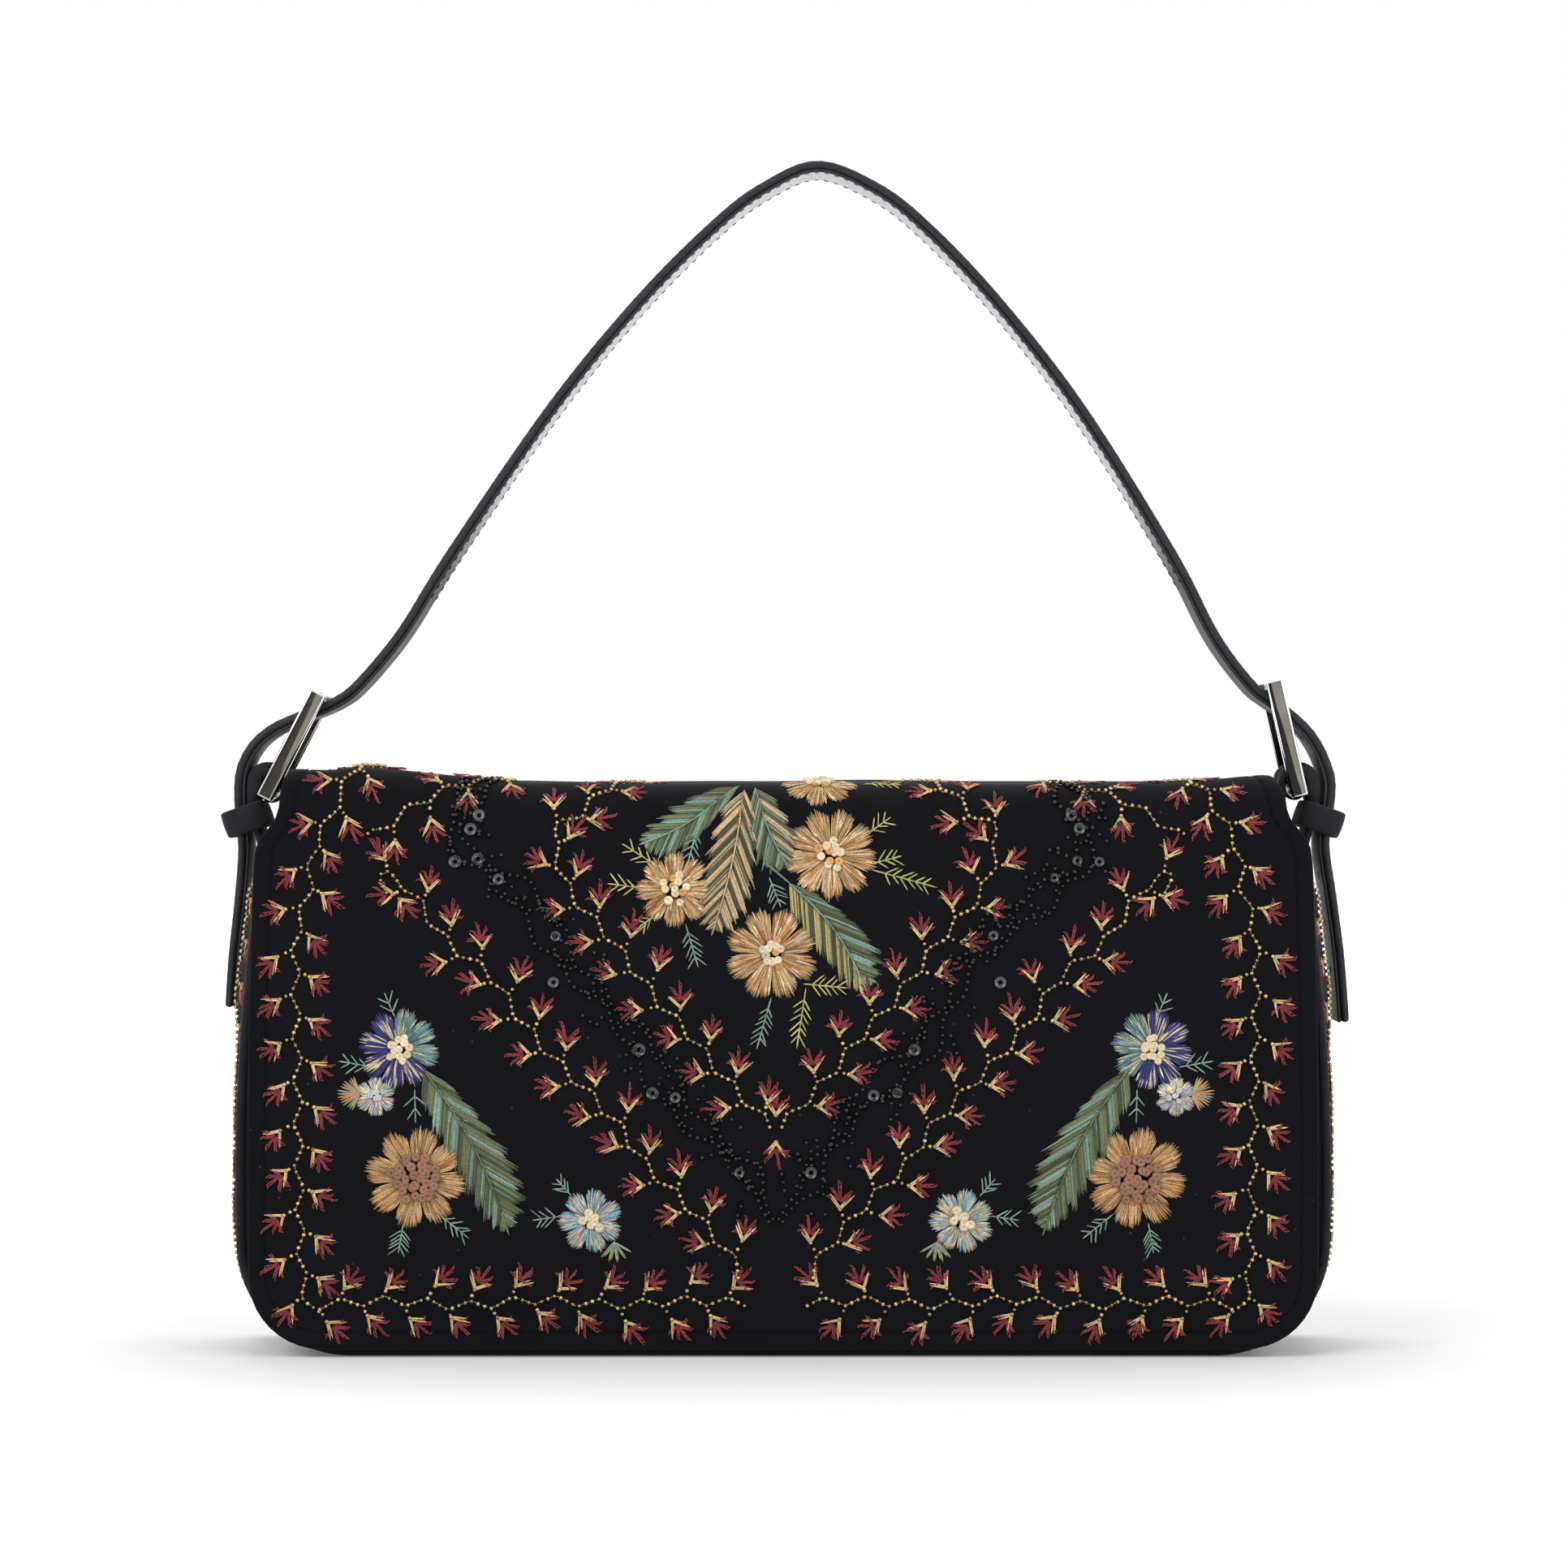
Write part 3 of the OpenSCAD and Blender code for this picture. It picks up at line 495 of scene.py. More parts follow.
shoulderLine = smoothPath([(110, 130.9), (118, 130.7), (122, 130.5), (126, 129.9), (129, 128.1),
                           (131.5, 125.9), (134.5, 124.5), (139, 123.9), (147.5, 121.7),
                           (158, 121.1), (165.7, 121.0), (210, 121.0)], 8)


def flapHalfAt(h):
    taper = flap["sideTaper"] * shareUp(h, body["gussetTop"]) ** 2
    hanging = body["halfWidth"] - flap["sideIn"] - taper
    upper = np.interp(h, shoulderLine[:, 0], shoulderLine[:, 1])
    return hanging + (upper - hanging) * easeIn(h, *flap["shoulderFrom"])


# from start on a face bends round its centre line by a quarter turn
def bendFace(face, h, start, radius, y, z, begin):
    turn = begin + np.clip((h - start) / radius, 0, quarterTurn)
    ny, nz = -np.cos(turn), np.sin(turn)
    return np.where(h >= start, [y + radius * ny, z + radius * nz, ny, nz], face)


# y, z and the outward direction of the flap's outer face
def flapLine(h):
    h = np.asarray(h, float)
    z = np.minimum(h, flap["rollZ"])
    high = body["panelTop"]
    slope = 2 * body["depthTaper"] * shareUp(z, high) / (high - body["swellZ"])
    size = np.sqrt(1 + slope ** 2)
    face = np.stack([-(halfDepthAt(z) + flap["standOff"]), z, -1 / size, slope / size])
    face = bendFace(face, h, flap["rollZ"], flap["rollRadius"], rollCentreY, flap["rollZ"], 0)
    face[0] += np.clip(h - rollEnd, 0, rearStart - rollEnd)
    y, z, ny, nz = bendFace(face, h, rearStart, flap["rearRadius"], rearCentreY, rearTopZ,
                            quarterTurn)
    onLap = h > rearEnd
    z = np.where(onLap, rearTopZ - (h - rearEnd), z)
    y = np.where(onLap, halfDepthAt(z) + flap["rearOff"], y)
    return y, z, ny, nz


sag = {
    "leftRise": 4.6, "leftFrom": (55, 128), "rightRise": 1.2, "rightFrom": (96, 120),
    "roomX": (103, 113), "roomH": (141, 158),  # for the left buckle when the flap is folded back
    "dip": 0.6, "dipX": 20, "dipFade": (60, 110), "crease": 0.5, "creaseX": -66, "creaseWide": 7,
    "topFade": ((126, 146), (156, 184)), "rearFrom": (176, 190),
}


# how far the soft flap stands off its regular shape
def flapSag(x, h):
    x, h = np.asarray(x, float), np.asarray(h, float)
    belly = flap["bellyRise"] * swellOf(x, h, flap["bellyHalf"], flap["bellyHalf"])
    waves = 0.16 * np.sin(x * 0.061 + 1.2) * np.sin(h * 0.083 + 0.4)
    waves = waves + 0.10 * np.sin(x * 0.137 + h * 0.05 + 2.0) + 0.07 * np.sin(h * 0.19 - x * 0.07)
    rise = sag["leftRise"] * easeIn(-x, *sag["leftFrom"])
    rise = rise + sag["rightRise"] * easeIn(x, *sag["rightFrom"])
    rise = rise * (1 - easeIn(-x, *sag["roomX"]) * easeIn(h, *sag["roomH"]))
    dent = sag["dip"] * (1 - easeIn(np.abs(x - sag["dipX"]), *sag["dipFade"]))
    crease = sag["crease"] * np.exp(-((x - sag["creaseX"]) / sag["creaseWide"]) ** 2)
    rearWave = 0.25 * np.sin(x * 0.05 + 0.6) * easeIn(h, *sag["rearFrom"])
    return belly + waves + (rise - dent - crease) * fadeInOut(h, sag["topFade"]) + rearWave


def flapPlace(x, h, depth):
    y, z, ny, nz = flapLine(h)
    off = flapSag(x, h) - depth
    return np.stack([x, y + ny * off, z + nz * off], -1)


# faces of the body: side is -1 at the front and 1 at the back
def facePlace(side, inset, bellyRise):
    def place(x, z, depth):
        wave = 0.12 * np.sin(x * 0.07 + side) * np.sin(z * 0.09 + 1)
        y = halfDepthAt(z) - inset - depth + bellyRise * swellOf(x, z, 130, 120) + wave
        return np.stack([x, side * y, z + 0 * x], -1)
    return place


# how far a rolled rim has dropped this near to its edge
def rimDip(edge, thickness):
    rim = thickness * 0.48
    near = np.minimum(edge, rim)
    return rim - np.sqrt(np.maximum(rim ** 2 - (rim - near) ** 2, 0))


# quads between rows of points: wrap joins a row's ends, closed the last row to the first
def gridFaces(levels, width, wrap=False, closed=False, start=0):
    return [[start + i * width + j, start + i * width + (j + 1) % width,
             start + (i + 1) % levels * width + (j + 1) % width,
             start + (i + 1) % levels * width + j]
            for i in range(levels if closed else levels - 1)
            for j in range(width if wrap else width - 1)]


def tubeFaces(levels, sides):
    ends = [list(range(sides))[::-1], list(range((levels - 1) * sides, levels * sides))]
    return gridFaces(levels, sides, wrap=True) + ends


def ringAngles(count):
    return np.arange(count) * 2 * math.pi / count


# a solid piece from an outer face: points, quads and each point's distance to a free edge
def thickShell(patch, thickness, place, profile=None):
    flat, quads, edge = patch
    dip = rimDip(edge, thickness)
    outer = place(flat[:, 0], flat[:, 1], dip + (profile(edge) if profile else 0))
    inner = place(flat[:, 0], flat[:, 1], thickness - dip)
    count = len(flat)
    seen = {pair for quad in quads for pair in zip(quad, quad[1:] + quad[:1])}
    border = [(a, b) for a, b in seen if (b, a) not in seen]
    faces = list(quads) + [[v + count for v in reversed(quad)] for quad in quads]
    faces += [[b, a, a + count, b + count] for a, b in border]
    return np.concatenate([outer, inner]), faces


def joinFlat(flat, quads, edge):
    keys = np.round(flat * 1e4).astype(np.int64)
    _, first, inverse = np.unique(keys, axis=0, return_index=True, return_inverse=True)
    inverse = np.asarray(inverse).ravel()
    least = np.full(len(first), 1e9)
    np.minimum.at(least, inverse, edge)
    renamed = []
    for quad in quads:
        names = [int(inverse[v]) for v in quad]
        loop = [v for i, v in enumerate(names) if v != names[i - 1]]
        if len(loop) > 2:
            renamed.append(loop)
    return flat[first], renamed, least


# stations from low to high, closer together at a free end
def stations(low, high, gap, freeLow=True, freeHigh=True):
    near = np.array([0, 0.12, 0.35, 0.75, 1.4])
    start = low + near if freeLow else np.array([low])
    end = high - near[::-1] if freeHigh else np.array([high])
    count = max(2, int(round((end[0] - start[-1]) / gap)) + 1)
    return np.concatenate([start[:-1], np.linspace(start[-1], end[0], count), end[1:]])


# a panel with two round lower corners: a strip along its edge and rows inside
def platePatch(halfAt, low, radius, top, gap, insets, freeTop=True):
    rows = stations(low + radius, top, gap, False, freeTop)[::-1]
    corner = float(halfAt(low + radius)) - radius
    columns = int(round(2 * corner / gap)) // 2 * 2 + 1
    turns = np.linspace(0, quarterTurn, 11)[1:]
    spread = np.linspace(1, -1, columns)

    def sideLine(t):
        line = [(float(halfAt(h)) - t, h) for h in rows]
        return line + [(corner + (radius - t) * math.cos(a),
                        low + radius - (radius - t) * math.sin(a)) for a in turns]
    strips = []
    for t in insets:
        right = sideLine(t)
        under = [(corner * u, low + t) for u in spread[1:-1]]
        strips.append(right + under + [(-x, h) for x, h in reversed(right)])
    levels, length = len(strips), len(strips[0])
    flat = [point for strip in strips for point in strip]
    edge = np.repeat(insets, length).tolist()
    quads = gridFaces(levels, length)
    ends = sideLine(insets[-1])
    quads += [[a, d, c, b] for a, b, c, d in gridFaces(len(ends), columns, start=len(flat))]
    flat = np.array(flat + [(half * u, h) for half, h in ends for u in spread])
    edge = np.array(edge + [insets[-1]] * (len(ends) * columns))
    if freeTop:
        edge = np.minimum(edge, top - flat[:, 1])
    return joinFlat(flat, quads, edge)


# a plain band with straight or curved sides, its length running along h
def bandPatch(halfAt, rows, gap, insets, freeLow=True, freeHigh=True):
    deep = insets[-1]
    columns = max(2, int(round(2 * (float(halfAt(rows[0])) - deep) / gap)) + 1)
    spread = np.linspace(-1, 1, columns)
    flat, edge = [], []
    for h in rows:
        half = float(halfAt(h))
        across = [-half + t for t in insets[:-1]] + list(spread * (half - deep))
        across += [half - t for t in insets[-2::-1]]
        ends = ([h - rows[0]] if freeLow else []) + ([rows[-1] - h] if freeHigh else [])
        for x in across:
            flat.append((x, h))
            edge.append(min([half - abs(x)] + ends))
    width = columns + 2 * (len(insets) - 1)
    return np.array(flat), gridFaces(len(rows), width), np.array(edge)


def dropQuads(patch, inHole):
    flat, quads, edge = patch
    kept = [quad for quad in quads if not inHole(*flat[quad].mean(0))]
    used = sorted({v for quad in kept for v in quad})
    names = {v: i for i, v in enumerate(used)}
    return flat[used], [[names[v] for v in quad] for quad in kept], edge[used]


# all faces pointing outwards and smooth, but for edges sharper than the angle
def tidyMesh(name, points, faces, sharpAngle):
    mesh = bpy.data.meshes.new(name)
    mesh.from_pydata(points, [], [list(f) for f in faces])
    work = bmesh.new()
    work.from_mesh(mesh)
    bmesh.ops.remove_doubles(work, verts=work.verts, dist=1e-6)
    bmesh.ops.recalc_face_normals(work, faces=work.faces)
    work.to_mesh(mesh)
    work.free()
    smoothFaces(mesh, sharpAngle)
    return mesh


def smoothFaces(mesh, sharpAngle):
    for polygon in mesh.polygons:
        polygon.use_smooth = True
    mesh.set_sharp_from_angle(angle=sharpAngle)


def makeMesh(name, points, faces, material):
    mesh = tidyMesh(name, (np.asarray(points, float) * mm).tolist(), faces, 0.9)
    mesh.materials.append(material)
    return addToScene(name, mesh)


def shellPiece(name, patch, thickness, place, material, profile=None):
    return makeMesh(name, *thickShell(patch, thickness, place, profile), material)


def markPiece(replaced):
    if replaced:
        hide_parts(*replaced)


def rideOn(piece, bodyName, slotName, *replaced):
    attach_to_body(piece, bodyName)
    markPiece(replaced)


def blendOn(piece, fold, slotName, *replaced):
    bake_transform(piece)
    markPiece(replaced)


# the fold across the flat top, and the one where the flap starts to hang
rearFold = ("bag", "flap_roll", (0, 4, 142), (0, -6, 142))
frontFold = ("flap_roll", "flap_panel", (0, -30, 135), (0, -30, 125))

# flap: distances from its edge at which the skin and the lining have points
edgeInsets = [0, 0.15, 0.4, 0.8, 1.6, 2.7, 3.5, 3.9, 4.3, 4.7, 5.1, 6.2]
liningInsets = [0, 0.15, 0.34, 1.0, 3.0]


def seamGroove(edge):
    line = flap["seamDepth"] * np.exp(-((edge - flap["seamAt"]) / flap["seamWide"]) ** 2)
    return line - 0.12 * np.exp(-((edge - 2.2) / 1.2) ** 2)


def hemHalfAt(h):
    return flapHalfAt(h) - flap["hem"]


def liningPlace(x, h, depth):
    return flapPlace(x, h, depth + flap["liningIn"])


def flapSkin(name, patch):
    return shellPiece(name, patch, flap["skinThick"], flapPlace, velvet, seamGroove)


def flapLining(name, patch):
    return shellPiece(name, patch, flap["liningThick"], liningPlace, satin)


patch = platePatch(flapHalfAt, flap["low"], flap["cornerRadius"], cutAt, 2.4, edgeInsets, False)
blendOn(flapSkin("flap_skin_front", patch), frontFold, "velvet", "flap_front", "flap_top")
patch = bandPatch(flapHalfAt, stations(cutAt, lapEnd, 1.9, False), 2.6, edgeInsets, False)
blendOn(flapSkin("flap_skin_rear", patch), rearFold, "velvet", "flap_rear")
patch = platePatch(hemHalfAt, flap["low"] + flap["hem"], flap["cornerRadius"] - flap["hem"],
                   cutAt, 3.6, liningInsets, False)
blendOn(flapLining("flap_lining_front", patch), frontFold, "satin_lining",
        "flap_front_lining", "flap_top_lining")
patch = bandPatch(hemHalfAt, stations(cutAt, rearEnd + 0.8, 2.4, False), 4.0, liningInsets, False)
blendOn(flapLining("flap_lining_rear", patch), rearFold, "satin_lining", "flap_rear_lining")
print("flap made")

# panels, linings and facings: side, depth inside the body, thickness, top and the belly's rise
plates = {
    "front_panel_suede": (-1, 0, body["panelThick"], 133, 0.5, velvet, "velvet", "front_panel"),
    "back_panel_suede": (1, 0, body["panelThick"], 133, 0.5, velvet, "velvet", "back_panel"),
    "front_lining_satin": (-1, 2.6, body["liningThick"], 132.5, 0.3, satin, "satin_lining",
                           "front_lining"),
    "back_lining_satin": (1, 3.0, body["liningThick"], 132.5, 0.3, satin, "satin_lining",
                          "back_lining"),
}
facings = {
    "front_facing_suede": (-1, 3.4, "front_facing"), "back_facing_suede": (1, 3.8, "back_facing"),
}
facing = {"low": 111, "high": 132.5, "sideIn": 2.6, "thick": 0.8, "rise": 0.2}
shoulder = {"half": 123.9, "from": (105, 112.6)}
zipWindow = {"half": 77.5, "low": 96, "high": 104}


# the back is cut in at its shoulders
def insetHalf(inset, side):
    def halfAt(z):
        half = halfWidthAt(z) - inset
        if side > 0:
            half = half - (half - shoulder["half"]) * easeIn(z, *shoulder["from"])
        return half
    return halfAt


def inZipWindow(x, z):
    return abs(x) < zipWindow["half"] and zipWindow["low"] < z < zipWindow["high"]


for name, (side, inset, thickness, top, rise, material, slotName, node) in plates.items():
    low = body["seamIn"]
    patch = platePatch(insetHalf(low, side), low, body["cornerRadius"] - low, top, 4.0,
                       liningInsets)
    if name == "back_lining_satin":
        patch = dropQuads(patch, inZipWindow)
    piece = shellPiece(name, patch, thickness, facePlace(side, inset, rise), material)
    rideOn(piece, "bag", slotName, node)
for name, (side, inset, node) in facings.items():
    rows = stations(facing["low"], facing["high"], 2.6)
    patch = bandPatch(insetHalf(facing["sideIn"], side), rows, 5.0, liningInsets)
    place = facePlace(side, inset, facing["rise"])
    piece = shellPiece(name, patch, facing["thick"], place, suedeTrim)
    rideOn(piece, "bag", "suede", node)


# the outline seen from the front, right side down, under and up the left
def outlinePath(inset, top):
    radius = body["cornerRadius"]
    corner = float(halfWidthAt(radius)) - radius
    reach = radius - inset
    right = [(float(halfWidthAt(z)) - inset, z) for z in np.linspace(top, radius, 34)]
    right += [(corner + reach * math.cos(a), radius - reach * math.sin(a))
              for a in np.linspace(0, quarterTurn, 17)[1:]]
    under = [(corner * u, inset) for u in np.linspace(1, -1, 61)[1:-1]]
    return np.array(right + under + [(-x, z) for x, z in reversed(right)])


# a place on a ribbon: the path is seen from the front, its left side is outward
def ribbonPlace(path, middleY, offset):
    lengths, tangent = pathFrame(path)
    normal = leftOf(tangent)

    def place(across, s, depth):
        px, pz = readAt(s, lengths, path)
        nx, nz = readAt(s, lengths, normal)
        off = offset - depth
        return np.stack([px + nx * off, middleY + across, pz + nz * off], -1)
    return place, lengths[-1]


gusset = {
    "seamIn": body["seamIn"], "backNeck": 20.0, "neckFrom": (106, 113),
    "dip": 1.7, "dipFade": ((10, 34), (64, 86)),  # at the bottom, between the seams
    "hollow": 0.9, "hollowFrom": (74, 100),
    "swell": 3.2, "swellFade": ((70, 92), (113, 121)),  # at the front, clear of the tab
    "rowGap": 2.58,
}
gussetPath = outlinePath(0, body["gussetTop"])[::-1]
gussetLengths, gussetTangent = pathFrame(gussetPath)
gussetLength = gussetLengths[-1]


# the gusset dips a little between its two piped seams, but not where it stands
def gussetPlace(share, s, depth):
    px, pz = readAt(s, gussetLengths, gussetPath)
    tx, tz = readAt(s, gussetLengths, gussetTangent)
    reach = halfDepthAt(pz) - gusset["seamIn"]
    back = np.minimum(reach, reach + (gusset["backNeck"] - reach) * easeIn(pz, *gusset["neckFrom"]))
    y = -reach + (back + reach) * (share + 1) / 2
    sink = np.clip(1 - share ** 2, 0, 1) * (gusset["hollow"] * easeIn(pz, *gusset["hollowFrom"])
                                            - gusset["dip"] * fadeInOut(pz, gusset["dipFade"]))
    sink = sink + 0.35 * np.sin(s * 0.11) * np.sin((share + 1) * 1.6) * easeIn(pz, 20, 50)
    swell = np.clip(np.sin(math.pi * (share + 0.95)), 0, 1) ** 2
    off = depth + sink - gusset["swell"] * swell * fadeInOut(pz, gusset["swellFade"])
    return np.stack([px - tz * off, y, pz + tx * off], -1)


def addGusset(name, depth, thickness, top, spread, material, slotName, node):
    rows = stations(0, gussetLength, gusset["rowGap"])
    flat, quads, _ = bandPatch(lambda h: 1.0, rows, 0.125, [0, 0.004, 0.012, 0.03])
    toSeam = 1 - np.abs(flat[:, 0])
    edge = np.where(toSeam < 0.05, toSeam * 24, 9)
    edge = np.minimum(edge, np.minimum(flat[:, 1], gussetLength - flat[:, 1]))

    def place(share, s, deeper):
        return gussetPlace(share * spread, np.clip(s, top, gussetLength - top), depth + deeper)
    rideOn(shellPiece(name, (flat, quads, edge), thickness, place, material), "bag", slotName, node)


addGusset("gusset_suede", 0.0, body["panelThick"], 0.0, 1.0, velvet, "velvet", "gusset")
addGusset("gusset_lining_satin", 1.7, body["liningThick"], 0.5, 0.96, satin, "satin_lining",
          "gusset_lining")


# a round cord along points in space, its ends drawn in
def tubeMesh(name, points, radius, material, sides=10):
    tangent = directions(points)
    side = np.cross(tangent[0], (0, 1, 0) if abs(tangent[0][1]) < 0.9 else (1, 0, 0))
    angles = ringAngles(sides)[:, None]
    last = len(points) - 1
    rings = []
    for i, (middle, forward) in enumerate(zip(points, tangent)):
        side = side - forward * side.dot(forward)
        side /= np.linalg.norm(side)
        size = radius * 0.45 if i in (0, last) else radius
        third = np.cross(forward, side)
        rings.append(middle + size * (np.cos(angles) * side + np.sin(angles) * third))
    return makeMesh(name, np.concatenate(rings), tubeFaces(len(rings), sides), material)


for name, side, top, node in (("front_piping_suede", -1, 122.0, "front_piping"),
                              ("back_piping_suede", 1, 112.8, "back_piping")):
    radius = body["pipingRadius"]
    path = outlinePath(radius, top)
    y = side * (halfDepthAt(path[:, 1]) - radius)
    cord = tubeMesh(name, np.stack([path[:, 0], y, path[:, 1]], 1), radius, suedeTrim)
    rideOn(cord, "bag", "suede", node)
print("shell made")

# tabs, keepers and strap
carry = {
    "y": 14.5, "tabHalf": 10.0, "tabThick": 1.8, "tabPad": 1.35, "loopX": 130.35, "loopZ": 141.65,
    "loopR": 4.25, "tabEndX": 131.8, "slotHalf": 1.9, "slotZ": 135.5, "strapHalf": 10.2,
    "hideThick": 2.1, "paleThick": 0.8, "paleIn": 0.2, "strapOuter": 1.45,
}
keeper = {
    "at": (136.9, 132.0), "tilt": 19.5, "high": 6.7, "thick": 1.4, "puff": 0.22,
    "inX": -4.9, "outX": 3.1, "halfY": 10.5, "round": 1.6,
}
holes = {"x": 136.9, "z": (94, 106, 118), "radius": 1.2, "reach": 8}
prongCut = {"halves": (4, 1.4, 5.5), "angle": -42.5, "at": (3.6, 17.3)}  # in the buckle's place
buckle = {
    "barX": 129.9, "barZ": {-1: 139.5, 1: 140.2}, "lean": {-1: 27.2, 1: 12.8}, "thick": 4.2,
    "sideWidth": 2.6, "windowHalf": 10.7, "fromEnd": 2.2, "upperAt": 26.28, "length": 29.98,
    "bevel": 0.55, "lowerRadius": 2.0, "upperRadius": 1.3, "prongWide": 2.0, "prongThick": 1.5,
    "bore": 0.06, "eye": 1.1, "eyeBevel": 0.3,
}
bothSides = ((-1, "left"), (1, "right"))


# points turned about y by an angle in degrees, then moved along x and z
def tilted(points, angle, at):
    p = np.array(points, float)
    turn = math.radians(angle)
    x = p[:, 0] * math.cos(turn) + p[:, 2] * math.sin(turn) + at[0]
    z = -p[:, 0] * math.sin(turn) + p[:, 2] * math.cos(turn) + at[1]
    return np.stack([x, p[:, 1], z], 1)


def tabPath():
    x, z, r = carry["loopX"], carry["loopZ"], carry["loopR"]
    low = body["swingZ"] - carry["tabHalf"]
    end = carry["tabEndX"]
    between = ((end + x + r) / 2, body["swingZ"] + 6.6)
    outer = smoothPath([(end, low), (end, low + 6), (end, low + 11), between,
                        (x + r, z - r - 0.4), (x + r, z)], 9)
    over = [(x + r * math.cos(a), z + r * math.sin(a)) for a in np.linspace(0.16, math.pi, 18)]
    inner = [(x - r, h) for h in np.linspace(z - 0.8, low, 26)]
    return np.concatenate([outer, over, inner])


def addTab(side, hand):
    path = tabPath()
    place, length = ribbonPlace(path, carry["y"], carry["tabThick"] / 2)
    lengths = lengthsAlong(path)
    slot = carry["slotHalf"]

    def heightAt(s):
        return np.interp(s, lengths, path[:, 1])

    def halfAt(s):
        below = max(body["swingZ"] - heightAt(s), 0)
        return math.sqrt(max(carry["tabHalf"] ** 2 - below ** 2, 2.0))

    def inSlot(x, s):
        return abs(x) < slot * 0.98 and heightAt(s) > carry["slotZ"]
    right = [0, slot - 0.35, slot, 3, 4.5, 6.5, 8.4, 9.2, 9.6, 9.85, 10]
    shares = [-a / 10 for a in right[:0:-1]] + [a / 10 for a in right]
    rows = stations(0.05, length - 0.05, 1.0)
    flat = np.array([(halfAt(s) * share, s) for s in rows for share in shares])
    edge = np.array([min(halfAt(s) * (1 - abs(share)), s, length - s)
                     for s in rows for share in shares])
    patch = dropQuads((flat, gridFaces(len(rows), len(shares)), edge), inSlot)
    half = len(path) // 2
    arcStart = np.interp(carry["loopZ"], path[:half, 1], lengths[:half])

    def paddedPlace(across, s, depth):
        pad = carry["tabPad"] * fadeInOut(s, ((arcStart - 7, arcStart - 1),
                                              (arcStart + 9, arcStart + 14)))
        return place(across, s, depth - pad * (1 - depth / carry["tabThick"]))
    points, faces = thickShell(patch, carry["tabThick"], paddedPlace)
    piece = makeMesh(f"{hand}_tab_suede", points * (side, 1, 1), faces, suedeTrim)
    rideOn(piece, "strap", "suede", f"{hand}_tab")


def addKeeper(side, hand):
    right, left = keeper["outX"] - keeper["round"], keeper["inX"] + keeper["round"]
    high = keeper["halfY"] - keeper["round"]
    loop = [(cx + keeper["round"] * math.cos(a), cy + keeper["round"] * math.sin(a))
            for cx, cy, start in ((right, high, 0), (left, high, 90), (left, -high, 180),
                                  (right, -high, 270))
            for a in np.radians(np.linspace(start, start + 90, 7))]
    dense = []
    for a, b in zip(np.array(loop), np.roll(loop, -1, 0)):
        parts = max(1, int(np.linalg.norm(b - a) / 1.2))
        dense += [a + (b - a) * k / parts for k in range(parts)]
    dense = np.array(dense)
    tangent = np.roll(dense, -1, 0) - np.roll(dense, 1, 0)
    normal = -leftOf(tangent / np.linalg.norm(tangent, axis=1)[:, None])
    half, thick = keeper["high"] / 2, keeper["thick"]
    rows = stations(-half, half, 0.8)
    dips = rimDip(half - np.abs(rows), thick)
    puffs = keeper["puff"] * np.cos(rows / half * quarterTurn)
    points = [(*point, z) for outs in (thick - dips + puffs, dips) for z, out in zip(rows, outs)
              for point in dense + normal * out]
    levels, count = len(rows), len(dense)
    wall = levels * count
    faces = [face for start in (0, wall)
             for face in gridFaces(levels, count, wrap=True, start=start)]
    faces += [[i + j, i + (j + 1) % count, i + (j + 1) % count + wall, i + j + wall]
              for i in (0, wall - count) for j in range(count)]
    placed = tilted(np.array(points), keeper["tilt"], keeper["at"]) + (0, carry["y"], 0)
    piece = makeMesh(f"{hand}_keeper_suede", placed * (side, 1, 1), faces, suedeTrim)
    rideOn(piece, "strap", "suede", f"{hand}_keeper")


for side, hand in bothSides:
    addTab(side, hand)
for side, hand in bothSides:
    addKeeper(side, hand)

strapRoute = [
    (-139.6, 84.8), (-138.7, 98), (-137.2, 112), (-136.3, 125), (-137.2, 135.5), (-137.1, 143),
    (-135.5, 147.9), (-132.6, 152), (-128.4, 155.2), (-124.1, 157.2), (-120.1, 158.8),
    (-116.4, 160.2), (-112.6, 162), (-108.6, 164.8), (-102, 172), (-95, 181.2), (-83.5, 199.7),
    (-58.1, 236.6), (-36, 263.5), (-16.7, 282.8), (-4.5, 292), (8.7, 297.3), (23, 292),
    (35.2, 282.8), (53, 264.3), (74.7, 236.6), (97.8, 199.7), (107.4, 181.2), (112.9, 172.6),
    (118.8, 165.4), (121.9, 162.9), (125.1, 160.7), (128.8, 157.9), (132.4, 154.4),
    (135.1, 150.4), (137, 146.1), (138.1, 142), (137.9, 136.5), (136.6, 126), (138.3, 113),
    (140.3, 98), (141.6, 81)]
strapPath = smoothPath(strapRoute, 8)


# from a buckle's own place, its lower bar at the origin, to its place on the bag
def buckleSpot(points, side):
    at = (buckle["barX"], buckle["barZ"][side])
    return (tilted(points, -buckle["lean"][side], at) + (0, carry["y"], 0)) * (side, 1, 1)


def toolMesh(points, faces):
    return makeMesh("tool", points, faces, gunmetal)


def cutBox(side):
    corners = np.array([(x, y, z) for x in (-1, 1) for y in (-1, 1) for z in (-1, 1)])
    faces = [(0, 1, 3, 2), (4, 6, 7, 5), (0, 4, 5, 1), (2, 3, 7, 6), (0, 2, 6, 4), (1, 5, 7, 3)]
    turnedBox = tilted(corners * prongCut["halves"], prongCut["angle"], prongCut["at"])
    return toolMesh(buckleSpot(turnedBox, side), faces)


# a round bar along y
def roundBar(half, radius, at, sides=40):
    points = [(at[0] + radius * math.cos(a), y, at[1] + radius * math.sin(a))
              for y in (-half, half) for a in ringAngles(sides)]
    return np.array(points), tubeFaces(2, sides)


def cutPin(x, z):
    points, faces = roundBar(holes["reach"], holes["radius"], (carry["y"], z), 20)
    return toolMesh(points[:, [1, 0, 2]] + (x, 0, 0), faces)


